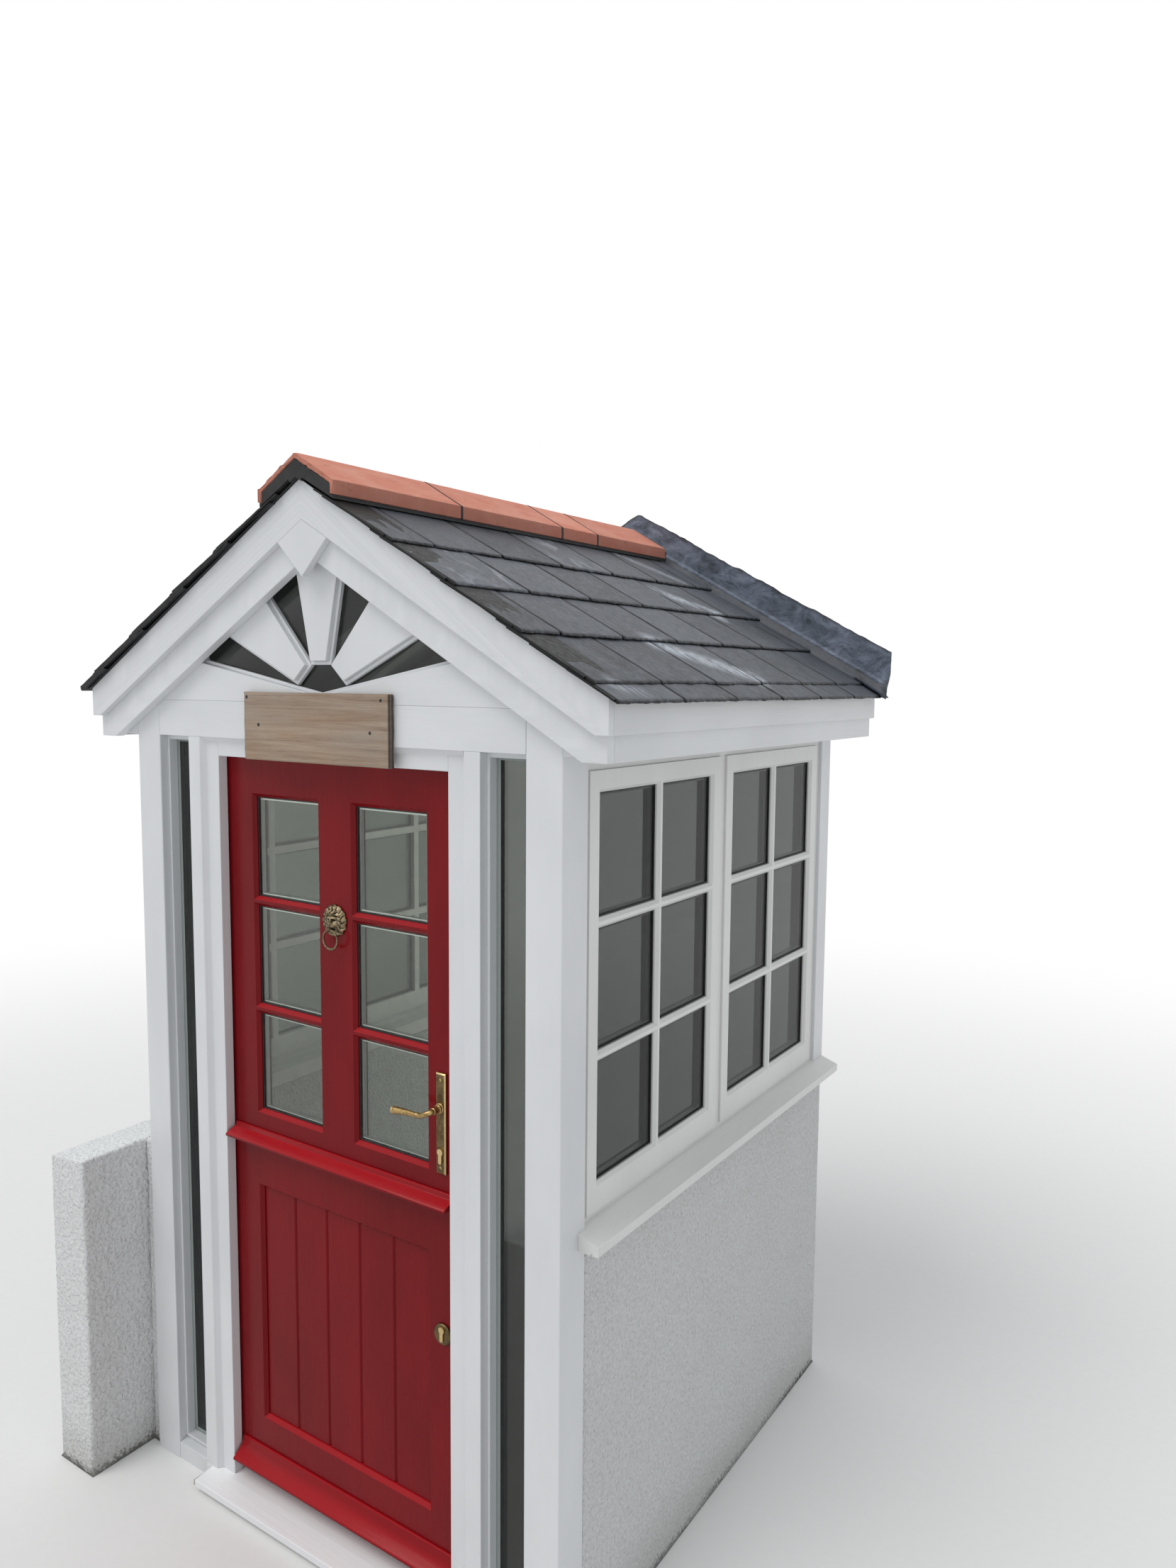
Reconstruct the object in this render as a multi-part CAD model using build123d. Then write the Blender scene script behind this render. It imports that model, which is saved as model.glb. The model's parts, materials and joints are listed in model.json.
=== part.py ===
"""Timber entrance porch with a red stable door, a slate roof and side windows.

Millimetres. X runs to the right along the front, Y runs into the house and Z is up.
The origin is on the ground, midway between the corner posts, in their front plane.
"""
from build123d import *

import math
import os

# Timber frame
POST = 97.0
PORCH_WIDTH = 1454.0
PORCH_DEPTH = 1490.0
HEAD_HEIGHT = 2122.0
REAR_POST_DEPTH = 71.0

# Ground, floor and threshold
FLOOR_LEVEL = 30.0
SILL_LEVEL = 40.0
SILL_THICK = 25.0
SILL_FALL = 5.0
SILL_NOSE = 60.0
SILL_NOSE_SHORT = 25.0
SILL_BED = 45.0

# Door opening and its frame
LEAF_WIDTH = 813.0
LEAF_HEIGHT = 2032.0
LEAF_THICK = 44.0
HINGE_GAP = 5.0
LOCK_GAP = 7.0
HEAD_GAP = 5.0
BOTTOM_GAP = 8.0
LEAVES_GAP = 5.0
STOP_LAP = 12.0
STOP_DEPTH = 28.0
SEAL_GAP = 5.0
FRAME_SETBACK = 15.0
JAMB_FACE = 46.5
MULLION_FACE = 46.0
FRAME_BEVEL = 13.0

# Leaves
LEAF_STILE = 98.0
LOCK_STILE = 98.0
TOP_RAIL = 103.0
MEETING_HEIGHT = 986.0
UPPER_BOTTOM_RAIL = 74.0
LOWER_TOP_RAIL = 124.0
LOWER_BOTTOM_RAIL = 180.0
CENTRE_STILE = 114.0
GLAZING_BAR = 26.0
PANE_ROWS = 3
MOULDING = 9.0
PANE_UNIT_THICK = 20.0
PANE_SET_BACK = 14.0
BOARD_COUNT = 5
BOARD_THICK = 20.0
BOARD_RECESS = 12.0
GROOVE = 5.0

# Weatherbars
BAR_PROJECTION = 43.0
BAR_HEIGHT = 30.0
BAR_END_HINGE = 6.0
BAR_END_LOCK = 10.0
LOWER_BAR_RISE = 42.0
LOWER_BAR_HEIGHT = 54.0

# Hinges
PIN_RADIUS = 2.5
PIN_CLEARANCE = 0.1
KNUCKLE_RADIUS = 5.5
PIN_PROUD = 6.0
HINGE_LENGTH = 100.0
HINGE_PLATE = 2.0
HINGE_PLATE_WIDTH = 30.0
HINGE_END = 150.0
HINGE_END_LOW = 120.0
KNUCKLE_COUNT = 5
KNUCKLE_GAP = 0.5
KNUCKLE_SIDES = 12

# Handle, lock, escutcheon and knocker
HANDLE_BACKSET = 54.0
SPINDLE_HEIGHT = 1272.0
CYLINDER_DROP = 108.0
PLATE_WIDTH = 30.0
PLATE_HEIGHT = 247.0
PLATE_THICK = 9.0
PLATE_TOP_RISE = 84.0
PLATE_BEVEL = 3.0
SPINDLE_RADIUS = 5.0
SPINDLE_BORE = 6.5
LEVER_BOSS_RADIUS = 13.0
LEVER_BOSS_THICK = 5.0
LEVER_RING_RADIUS = 10.6
NECK_RADIUS = 7.4
LEVER_STANDOFF = 42.0
LEVER_LENGTH = 119.0
LEVER_DROP = 16.0
LEVER_RADIUS = 5.2
LEVER_COLLAR_RADIUS = 6.6
LEVER_TIP_RADIUS = 8.0
LEVER_SIDES = 10
FINIAL_RADIUS = 3.2
LEVER_RUN_CLEARANCE = 0.3
CYLINDER_RADIUS = 8.5
CYLINDER_WEB = 10.0
CYLINDER_DEPTH = 24.0
ESCUTCHEON_RADIUS = 27.0
ESCUTCHEON_HEIGHT = 718.0
ESCUTCHEON_THICK = 7.0
ESCUTCHEON_BEVEL = 3.0
CYLINDER_PROUD = 3.0
KNOCKER_HEIGHT = 1674.0
MANE_RADIUS = 41.0
MANE_THICK = 7.0
MANE_LOCKS = 13
MANE_NOTCH = 6.0
INNER_MANE_RADIUS = 32.0
INNER_MANE_THICK = 13.0
FACE_RADIUS = 24.0
FACE_THICK = 18.0
BROW_RADIUS = 14.0
BROW_THICK = 24.0
NOSE_WIDTH = 9.0
MUZZLE_PROJECTION = 30.0
MUZZLE_BEVEL = 5.0
JAW_WIDTH = 18.0
JAW_BELOW_PIVOT = 13.0
NOSE_RISE = 6.0
RING_RADIUS = 25.0
RING_THICK = 3.0
RING_SIDES = 8
RING_SEGMENTS = 24
RING_PLAY = 2.2
RING_DROP = 20.0
RING_STANDOFF = 19.0
BEAD_RADIUS = 4.5
BEAD_COUNT = 3
BEAD_STEP = 17.0

# Sidelights
SIDELIGHT_RAIL = 53.0
SIDELIGHT_BEAD = 8.0
SIDELIGHT_BEAD_FRONT = 24.0
SIDELIGHT_GLASS_FRONT = 50.0
SIDELIGHT_HEAD = 12.0

# Roof
ROOF_PITCH = 30.0
BIRDSMOUTH = 20.7
BARGE_THICK = 19.0
INNER_BARGE_THICK = 27.0
OUTER_BARGE_DEPTH = 83.0
INNER_BARGE_REVEAL = 71.0
EAVE_PROJECTION = 141.0
UPPER_FASCIA_THICK = 15.0
UPPER_FASCIA_DEPTH = 76.4
LOWER_FASCIA_THICK = 20.0
LOWER_FASCIA_REVEAL = 57.0
ROOF_BOARD = 18.0
RAFTER_DEPTH = 95.0
RAFTER_WIDTH = 45.0
RAFTER_COUNT = 5
RIDGE_BOARD_THICK = 32.0
RIDGE_BOARD_DEPTH = 150.0
SOFFIT_THICK = 9.0

# Slates, ridge and lead
VERGE_OVERHANG = 66.0
SLATE_THICK = 7.0
SLATE_LIFT = 8.0
SLATE_GAUGE = 206.0
EAVE_OVERHANG = 30.0
UNDERCOURSE_SHOW = 68.0
SLATE_HEAD = 22.0
RIDGE_TILE_WING = 149.0
RIDGE_TILE_THICK = 13.0
RIDGE_TILE_LIP = 33.0
RIDGE_RISE = 56.5
RIDGE_TILE_LENGTH = 457.0
RIDGE_CUT_TILE = 190.0
RIDGE_JOINT = 7.0
RIDGE_END_GAP = 32.0
MORTAR_SETBACK = 4.0
LEAD_THICK = 3.0
LEAD_OVERHANG = 49.0
LEAD_RISE_RIDGE = 118.5
LEAD_RISE_EAVE = 165.0
LEAD_LAP = 65.0

# Gable
GABLE_BOARD = 22.0
FAN_TIP_RISE = 99.0
FAN_FOOT_RISE = 17.0
RAY_TUCK = 34.0
RAY_TOP_HALF = 70.0
RAY_FOOT_HALF = 27.0
RAY_FOOT_RISE = 102.5
PANEL_TIP_GAP = 96.0
PANEL_HEAD_WIDTH = 155.0
PANEL_TOP_CORNER_X = 46.0
PANEL_TOP_CORNER_RISE = 93.0
PANEL_LOW_CORNER_X = 86.0
PANEL_LOW_CORNER_RISE = 55.0
FAN_BEAD_WIDTH = 9.0
FAN_BEAD_SETBACK = 11.0
GABLE_GLASS = 6.0
GABLE_GLASS_LAP = 30.0
KITE_HALF = 84.0
KITE_DROP = 229.5

# Name board
BOARD_WIDTH = 505.0
BOARD_HEIGHT = 173.0
BOARD_DROP = 146.5
BOARD_BEVEL = 2.0
NAME_BOARD_THICK = 20.0

# Side walls
WALL_THICK = 130.0
WALL_TOP = 1021.0
WING_WIDTH = 160.0
WING_GAP = 38.0
WING_FRONT = 190.0
WING_BACK = 200.0
WING_HEIGHT = 935.0
WING_FALL = 18.0
WING_RETURN_FRONT = 10.0

# Side windows
WINDOW_SETBACK = 10.0
WINDOW_FRAME_DEPTH = 70.0
WINDOW_JAMB_FRONT = 12.0
WINDOW_JAMB_REAR = 30.0
WINDOW_MULLION = 33.0
WINDOW_HEAD = 37.0
WINDOW_SILL_RAIL = 14.0
SASH_PROUD = 6.0
SASH_DEPTH = 50.0
SASH_STILE = 46.0
SASH_TOP_RAIL = 50.0
SASH_BOTTOM_RAIL = 66.0
SASH_BAR = 24.0
SASH_ROWS = 3
SASH_COLUMNS = 2
SASH_MOULDING = 8.0
SASH_UNIT_THICK = 20.0
SASH_UNIT_SET_BACK = 14.0
WINDOW_SILL_FRONT = 67.0
WINDOW_SILL_PROJECTION = 54.0
WINDOW_SILL_THICK = 22.0
WINDOW_SILL_FALL = 22.0
DRIP_GROOVE = 5.0

# Worked out from the sizes above
HALF_WIDTH = PORCH_WIDTH / 2
POST_INNER = HALF_WIDTH - POST
REBATE_HALF = (LEAF_WIDTH + HINGE_GAP + LOCK_GAP) / 2
OPEN_HALF = REBATE_HALF - STOP_LAP
MULLION_INNER = OPEN_HALF + STOP_LAP + JAMB_FACE
MULLION_OUTER = MULLION_INNER + MULLION_FACE
STOP_BACK = FRAME_SETBACK + STOP_DEPTH
LEAF_FRONT = STOP_BACK + SEAL_GAP
LEAF_BACK = LEAF_FRONT + LEAF_THICK
LEAF_LEFT = -REBATE_HALF + HINGE_GAP
LEAF_RIGHT = REBATE_HALF - LOCK_GAP
LEAF_FOOT = SILL_LEVEL + BOTTOM_GAP
LEAF_TOP = LEAF_FOOT + LEAF_HEIGHT
REBATE_HEAD = LEAF_TOP + HEAD_GAP
OPEN_HEAD = REBATE_HEAD - STOP_LAP
LOWER_LEAF_TOP = LEAF_FOOT + MEETING_HEIGHT - LEAVES_GAP
UPPER_LEAF_FOOT = LOWER_LEAF_TOP + LEAVES_GAP
PIN_X = LEAF_LEFT - HINGE_GAP / 2
PIN_Y = LEAF_BACK + PIN_PROUD
HANDLE_X = LEAF_RIGHT - HANDLE_BACKSET
SLOPE = math.tan(math.radians(ROOF_PITCH))
COS_PITCH = math.cos(math.radians(ROOF_PITCH))
SIN_PITCH = math.sin(math.radians(ROOF_PITCH))
LINTEL_TOP = HEAD_HEIGHT + POST
ROOF_APEX = LINTEL_TOP - BIRDSMOUTH + (ROOF_BOARD + RAFTER_DEPTH) / COS_PITCH + HALF_WIDTH * SLOPE
UPPER_FASCIA_HALF = HALF_WIDTH + EAVE_PROJECTION
UPPER_FASCIA_FOOT = ROOF_APEX - UPPER_FASCIA_HALF * SLOPE - UPPER_FASCIA_DEPTH
LOWER_FASCIA_HALF = UPPER_FASCIA_HALF - UPPER_FASCIA_THICK
LOWER_FASCIA_FOOT = UPPER_FASCIA_FOOT - LOWER_FASCIA_REVEAL
SOFFIT_HALF = LOWER_FASCIA_HALF - LOWER_FASCIA_THICK
INNER_BARGE_DEPTH = OUTER_BARGE_DEPTH + INNER_BARGE_REVEAL
FAN_TIP_HEIGHT = LINTEL_TOP + FAN_TIP_RISE
FAN_FOOT_HEIGHT = LINTEL_TOP + FAN_FOOT_RISE
FAN_HALF = (ROOF_APEX - INNER_BARGE_DEPTH / COS_PITCH - FAN_TIP_HEIGHT) / SLOPE
PANEL_OUTER_X = FAN_HALF - PANEL_TIP_GAP
PANEL_INNER_X = PANEL_OUTER_X - PANEL_HEAD_WIDTH
KITE_FOOT = ROOF_APEX - KITE_DROP
BOARD_FOOT = LINTEL_TOP - BOARD_DROP
RIDGE_PEAK = ROOF_APEX + RIDGE_RISE
ROOF_END = PORCH_DEPTH - LEAD_THICK
RIDGE_END = ROOF_END - RIDGE_END_GAP
RAFTER_STEP = (ROOF_END - RAFTER_WIDTH - POST) / (RAFTER_COUNT - 1)
KNOCKER_X = (LEAF_LEFT + LEAF_RIGHT) / 2
WINDOW_FACE = HALF_WIDTH - WINDOW_SETBACK
WINDOW_START = POST
WINDOW_END = PORCH_DEPTH - REAR_POST_DEPTH
WINDOW_TOP = HEAD_HEIGHT
RIDGE_TIP_X = RIDGE_TILE_WING * COS_PITCH
RIDGE_TIP_Z = RIDGE_PEAK - RIDGE_TIP_X * SLOPE
RIDGE_LIP_Z = RIDGE_TIP_Z - RIDGE_TILE_LIP
RIDGE_INNER_X = RIDGE_TIP_X - RIDGE_TILE_THICK
RIDGE_INNER_PEAK = RIDGE_PEAK - RIDGE_TILE_THICK / COS_PITCH

PARTS = {}


def keep(name, *solids):
    """Store the solids of one node under its name."""
    PARTS[name] = Compound(children=list(solids)) if len(solids) > 1 else solids[0]


def span_box(x0, x1, y0, y1, z0, z1):
    """Box between two corners."""
    size = (abs(x1 - x0), abs(y1 - y0), abs(z1 - z0))
    centre = ((x0 + x1) / 2, (y0 + y1) / 2, (z0 + z1) / 2)
    return Pos(*centre) * Box(*size)


def front_plate(points, y0, y1):
    """Extrude an outline drawn in X and Z from y0 back to y1."""
    face = make_face(Polyline(*[(x, 0, z) for x, z in points], close=True))
    solid = extrude(face, amount=y1 - y0, dir=(0, 1, 0))
    return Pos(0, y0, 0) * solid


def plan_prism(points, z0, z1):
    """Extrude an outline drawn in X and Y from z0 up to z1."""
    face = make_face(Polyline(*[(x, y, 0) for x, y in points], close=True))
    return Pos(0, 0, z0) * extrude(face, amount=z1 - z0, dir=(0, 0, 1))


def side_bar(points, x0, x1):
    """Extrude an outline drawn in Y and Z from x0 across to x1."""
    face = make_face(Polyline(*[(0, y, z) for y, z in points], close=True))
    return Pos(x0, 0, 0) * extrude(face, amount=x1 - x0, dir=(1, 0, 0))


def y_rod(x, z, y0, y1, radius):
    """Round rod along Y."""
    rod = Rot(-90, 0, 0) * Cylinder(radius, y1 - y0)
    return Pos(x, (y0 + y1) / 2, z) * rod


def x_rod(x0, x1, y, z, radius):
    """Round rod along X."""
    rod = Rot(0, 90, 0) * Cylinder(radius, x1 - x0)
    return Pos((x0 + x1) / 2, y, z) * rod


def z_bar(x, y, z0, z1, radius, sides):
    """Many-sided bar along Z."""
    return Pos(x, y, z0) * extrude(RegularPolygon(radius, sides), amount=z1 - z0, dir=(0, 0, 1))


def other_side(solid):
    """Mirror a solid to the other side of the porch."""
    return mirror(solid, about=Plane.YZ)


def both_sides(name, *solids):
    """Store solids of the right side and their mirror images as one node."""
    keep(name, *solids, *[other_side(solid) for solid in solids])


def roof_z(x, drop=0.0):
    """Height of the line that lies a square distance drop under the roof plane."""
    return ROOF_APEX - abs(x) * SLOPE - drop / COS_PITCH


def roof_x(z, drop=0.0):
    """Distance from the middle at which that line reaches the height z."""
    return (ROOF_APEX - drop / COS_PITCH - z) / SLOPE


def chevron(half, foot, drop_top, drop_low, y0, y1):
    """Pair of boards that follow both slopes, mitred at the apex, with level feet."""
    right = [
        (half, roof_z(half, drop_top)),
        (half, foot),
        (roof_x(foot, drop_low), foot),
    ]
    left = [(-x, z) for x, z in reversed(right)]
    top = (0.0, roof_z(0, drop_top))
    low = (0.0, roof_z(0, drop_low))
    return front_plate([top] + right + [low] + left, y0, y1)


# Ground, floor and walls
def floor_slab():
    """Floor between the walls, with a short bed under the door sill."""
    inner = HALF_WIDTH - WALL_THICK
    slab = span_box(-inner, inner, POST, PORCH_DEPTH, 0, FLOOR_LEVEL)
    sill_under = SILL_LEVEL - SILL_THICK
    bed = span_box(-MULLION_OUTER, MULLION_OUTER, -SILL_BED, POST, 0, sill_under)
    return slab + bed


def dwarf_wall():
    """Rendered wall under the right window, from the corner post to the house."""
    inner = HALF_WIDTH - WALL_THICK
    return span_box(inner, HALF_WIDTH, POST, PORCH_DEPTH, 0, WALL_TOP)


def wing_wall():
    """Rendered wing wall that stands out beside the left corner post."""
    right = -HALF_WIDTH - WING_GAP
    left = right - WING_WIDTH
    outline = [(left, 0), (right, 0), (right, WING_HEIGHT), (left, WING_HEIGHT - WING_FALL)]
    wall = front_plate(outline, -WING_FRONT, WING_BACK)
    tie = span_box(right, -HALF_WIDTH, WING_RETURN_FRONT, WING_BACK, 0, WING_HEIGHT)
    return wall + tie


def door_sill():
    """Weathered sill: a back part under the frame and a shorter nose in front."""
    foot = SILL_LEVEL - SILL_THICK
    back = span_box(-MULLION_OUTER, MULLION_OUTER, 0, LEAF_BACK, foot, SILL_LEVEL)
    nose_outline = [(0, foot), (0, SILL_LEVEL), (-SILL_NOSE, SILL_LEVEL - SILL_FALL), (-SILL_NOSE, foot)]
    nose_half = MULLION_OUTER - SILL_NOSE_SHORT
    return back + side_bar(nose_outline, -nose_half, nose_half)


# Frame
def corner_post():
    """Right corner post, from the ground up beside the lintel to the gable board."""
    post = span_box(POST_INNER, HALF_WIDTH, 0, POST, 0, LINTEL_TOP)
    return chamfer(post.edges().filter_by(Axis.Z), 2.0)


def rear_post():
    """Right rear post, on the dwarf wall against the house."""
    return span_box(POST_INNER, HALF_WIDTH, WINDOW_END, PORCH_DEPTH, WALL_TOP, HEAD_HEIGHT)


def front_lintel():
    """Beam between the corner posts, and a closing block behind each bargeboard foot."""
    beam = span_box(-POST_INNER, POST_INNER, 0, POST, HEAD_HEIGHT, LINTEL_TOP)
    block = span_box(HALF_WIDTH, SOFFIT_HALF, 0, POST, HEAD_HEIGHT, LINTEL_TOP)
    return [beam, block, other_side(block)]


def wall_plate():
    """Right wall plate over the window, from the lintel to the house."""
    return span_box(POST_INNER, HALF_WIDTH, POST, PORCH_DEPTH, HEAD_HEIGHT, LINTEL_TOP)


def door_jamb():
    """Right door jamb and mullion, one moulded section with the door stop."""
    outline = [
        (OPEN_HALF, FRAME_SETBACK),
        (MULLION_INNER - FRAME_BEVEL, FRAME_SETBACK),
        (MULLION_INNER, 0),
        (MULLION_OUTER, 0),
        (MULLION_OUTER, LEAF_BACK),
        (REBATE_HALF, LEAF_BACK),
        (REBATE_HALF, STOP_BACK),
        (OPEN_HALF, STOP_BACK),
    ]
    return plan_prism(outline, SILL_LEVEL, HEAD_HEIGHT)


def door_head():
    """Head of the door frame between the jambs, with its stop and top moulding."""
    outline = [
        (FRAME_SETBACK, OPEN_HEAD),
        (FRAME_SETBACK, HEAD_HEIGHT - FRAME_BEVEL),
        (FRAME_SETBACK - FRAME_BEVEL, HEAD_HEIGHT),
        (LEAF_BACK, HEAD_HEIGHT),
        (LEAF_BACK, REBATE_HEAD),
        (STOP_BACK, REBATE_HEAD),
        (STOP_BACK, OPEN_HEAD),
    ]
    half = MULLION_OUTER
    head = side_bar(outline, -half, half)
    jamb = door_jamb()
    return head - jamb - other_side(jamb)


def sidelight_frame():
    """Bottom rail and glazing beads of the right sidelight."""
    low = SIDELIGHT_RAIL
    high = HEAD_HEIGHT
    x0 = MULLION_OUTER
    x1 = POST_INNER
    glass_back = SIDELIGHT_GLASS_FRONT + PANE_UNIT_THICK
    rail_outline = [(2, 0), (2, low - 4), (SIDELIGHT_GLASS_FRONT, low + 4), (POST, low + 4), (POST, 0)]
    rail = side_bar(rail_outline, x0, x1)
    solids = [rail]
    foot = low + 4
    for y0, y1 in ((SIDELIGHT_BEAD_FRONT, SIDELIGHT_GLASS_FRONT), (glass_back, glass_back + 12)):
        outer = span_box(x0, x1, y0, y1, foot, high)
        hole = span_box(x0 + SIDELIGHT_BEAD, x1 - SIDELIGHT_BEAD, y0 - 1, y1 + 1,
                        foot + SIDELIGHT_BEAD, high - SIDELIGHT_HEAD)
        solids.append(outer - hole - rail)
    return solids


def sidelight_glass():
    """Sealed glass unit of the right sidelight."""
    back = SIDELIGHT_GLASS_FRONT + PANE_UNIT_THICK
    foot = SIDELIGHT_RAIL + 4
    return span_box(MULLION_OUTER, POST_INNER, SIDELIGHT_GLASS_FRONT, back, foot, HEAD_HEIGHT)


# Gable
def outer_bargeboards():
    """Outer pair of bargeboards, flush with the upper fascia."""
    front = -INNER_BARGE_THICK - BARGE_THICK
    return chevron(UPPER_FASCIA_HALF, UPPER_FASCIA_FOOT, 0, OUTER_BARGE_DEPTH, front, -INNER_BARGE_THICK)


def inner_bargeboards():
    """Inner, deeper pair of bargeboards, flush with the lower fascia."""
    return chevron(LOWER_FASCIA_HALF, LOWER_FASCIA_FOOT, 0, INNER_BARGE_DEPTH, -INNER_BARGE_THICK, 0)


def fan_outline(margin):
    """Outline of the fan opening, with its top under the bargeboards by a margin."""
    top = INNER_BARGE_DEPTH - margin
    tip = (FAN_HALF, FAN_TIP_HEIGHT)
    tip_up = (FAN_HALF + margin * SIN_PITCH, roof_z(FAN_HALF + margin * SIN_PITCH, top))
    points = [(0, FAN_FOOT_HEIGHT), tip, tip_up, (0, roof_z(0, top))]
    return points + [(-x, z) for x, z in reversed(points[1:3])]


def gable_board():
    """Boarded gable above the lintel with the fan-shaped opening cut through it."""
    half = SOFFIT_HALF
    shoulder = roof_z(half, ROOF_BOARD)
    outline = [(-half, LINTEL_TOP), (half, LINTEL_TOP), (half, shoulder), (0, roof_z(0, ROOF_BOARD))]
    board = front_plate(outline + [(-half, shoulder)], 0, GABLE_BOARD)
    return board - front_plate(fan_outline(RAY_TUCK), -1, GABLE_BOARD + 1)


def sunburst_rays():
    """Centre ray and the two wide rays, their heads tucked behind the bargeboards."""
    tuck = INNER_BARGE_DEPTH - RAY_TUCK
    foot = LINTEL_TOP + RAY_FOOT_RISE
    taper = (RAY_TOP_HALF - RAY_FOOT_HALF) / (roof_z(RAY_TOP_HALF, INNER_BARGE_DEPTH) - foot)
    head = RAY_TOP_HALF + RAY_TUCK * taper
    head_z = roof_z(head, tuck)
    centre = [
        (-RAY_FOOT_HALF, foot),
        (RAY_FOOT_HALF, foot),
        (head, head_z),
        (0, roof_z(0, tuck)),
        (-head, head_z),
    ]
    wide = [
        (PANEL_TOP_CORNER_X, LINTEL_TOP + PANEL_TOP_CORNER_RISE),
        (PANEL_LOW_CORNER_X, LINTEL_TOP + PANEL_LOW_CORNER_RISE),
        (PANEL_OUTER_X + RAY_TUCK * SIN_PITCH, roof_z(PANEL_OUTER_X + RAY_TUCK * SIN_PITCH, tuck)),
        (PANEL_INNER_X + RAY_TUCK * SIN_PITCH, roof_z(PANEL_INNER_X + RAY_TUCK * SIN_PITCH, tuck)),
    ]
    right = front_plate(wide, 0, GABLE_BOARD)
    return [front_plate(centre, 0, GABLE_BOARD), right, other_side(right)]


def resized_plate(plate, distance):
    """Plate of the bead's depth with each side of the given plate's outline moved outwards."""
    outline = plate.faces().sort_by(Axis.Y)[0].outer_wire()
    face = make_face(outline.offset_2d(distance, kind=Kind.INTERSECTION))
    resized = extrude(face, amount=GABLE_BOARD - FAN_BEAD_SETBACK, dir=(0, 1, 0))
    return Pos(0, FAN_BEAD_SETBACK - plate.bounding_box().min.Y, 0) * resized


def fan_bead():
    """Stepped glazing bead that runs round the open parts of the fan, behind the rays."""
    opening = front_plate(fan_outline(RAY_TUCK), FAN_BEAD_SETBACK, GABLE_BOARD)
    clear = resized_plate(opening, -FAN_BEAD_WIDTH)
    for ray in sunburst_rays():
        opening -= ray
        clear -= resized_plate(ray, FAN_BEAD_WIDTH)
    return opening - clear


def gable_glass():
    """Sheet of glass behind the fan opening."""
    half = FAN_HALF + GABLE_GLASS_LAP
    drop = INNER_BARGE_DEPTH - GABLE_GLASS_LAP
    foot = FAN_FOOT_HEIGHT - GABLE_GLASS_LAP / 2
    outline = [(-half, foot), (half, foot), (half, roof_z(half, drop)), (0, roof_z(0, drop)),
               (-half, roof_z(half, drop))]
    return front_plate(outline, GABLE_BOARD, GABLE_BOARD + GABLE_GLASS)


def apex_block():
    """Kite-shaped block at the apex, butted under the outer bargeboards."""
    side_z = roof_z(KITE_HALF, OUTER_BARGE_DEPTH)
    outline = [(0, roof_z(0, OUTER_BARGE_DEPTH)), (KITE_HALF, side_z), (0, KITE_FOOT), (-KITE_HALF, side_z)]
    return front_plate(outline, -INNER_BARGE_THICK - BARGE_THICK, -INNER_BARGE_THICK)


def name_board():
    """Bare oak board on the lintel."""
    half = BOARD_WIDTH / 2
    board = span_box(-half, half, -NAME_BOARD_THICK, 0, BOARD_FOOT, BOARD_FOOT + BOARD_HEIGHT)
    front = board.faces().sort_by(Axis.Y)[0]
    return chamfer(front.edges(), BOARD_BEVEL)


# Roof
def upper_fascia():
    """Right upper fascia board."""
    x0 = LOWER_FASCIA_HALF
    x1 = UPPER_FASCIA_HALF
    outline = [(x0, UPPER_FASCIA_FOOT), (x1, UPPER_FASCIA_FOOT), (x1, roof_z(x1)), (x0, roof_z(x0))]
    return front_plate(outline, -INNER_BARGE_THICK, ROOF_END)


def lower_fascia():
    """Right lower fascia board, up to the underside of the roof boards."""
    x0 = SOFFIT_HALF
    x1 = LOWER_FASCIA_HALF
    outline = [
        (x0, LOWER_FASCIA_FOOT),
        (x1, LOWER_FASCIA_FOOT),
        (x1, roof_z(x1, ROOF_BOARD)),
        (x0, roof_z(x0, ROOF_BOARD)),
    ]
    return front_plate(outline, 0, ROOF_END)


def soffit():
    """Right soffit between the wall plate and the lower fascia."""
    return span_box(HALF_WIDTH, SOFFIT_HALF, POST, ROOF_END, HEAD_HEIGHT, HEAD_HEIGHT + SOFFIT_THICK)


def ridge_board():
    """Board along the apex that the rafters lean on."""
    half = RIDGE_BOARD_THICK / 2
    top = roof_z(half, ROOF_BOARD)
    foot = top - RIDGE_BOARD_DEPTH
    outline = [(-half, foot), (half, foot), (half, top), (0, roof_z(0, ROOF_BOARD)), (-half, top)]
    return front_plate(outline, GABLE_BOARD + GABLE_GLASS, ROOF_END)


def rafters():
    """Right rafters, cut over the wall plate and plumb at the fascia."""
    x0 = RIDGE_BOARD_THICK / 2
    x1 = SOFFIT_HALF
    low = ROOF_BOARD + RAFTER_DEPTH
    soffit_top = HEAD_HEIGHT + SOFFIT_THICK
    outline = [
        (x0, roof_z(x0, ROOF_BOARD)),
        (x1, roof_z(x1, ROOF_BOARD)),
        (x1, max(roof_z(x1, low), soffit_top)),
        (HALF_WIDTH, roof_z(HALF_WIDTH, low)),
        (HALF_WIDTH, LINTEL_TOP),
        (roof_x(LINTEL_TOP, low), LINTEL_TOP),
        (x0, roof_z(x0, low)),
    ]
    solids = []
    for index in range(RAFTER_COUNT):
        y0 = POST + index * RAFTER_STEP
        solids.append(front_plate(outline, y0, y0 + RAFTER_WIDTH))
    return solids


def roof_boards():
    """Right slope of the boarded roof deck."""
    x1 = LOWER_FASCIA_HALF
    outline = [(0, roof_z(0)), (x1, roof_z(x1)), (x1, roof_z(x1, ROOF_BOARD)), (0, roof_z(0, ROOF_BOARD))]
    return front_plate(outline, 0, ROOF_END)


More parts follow.
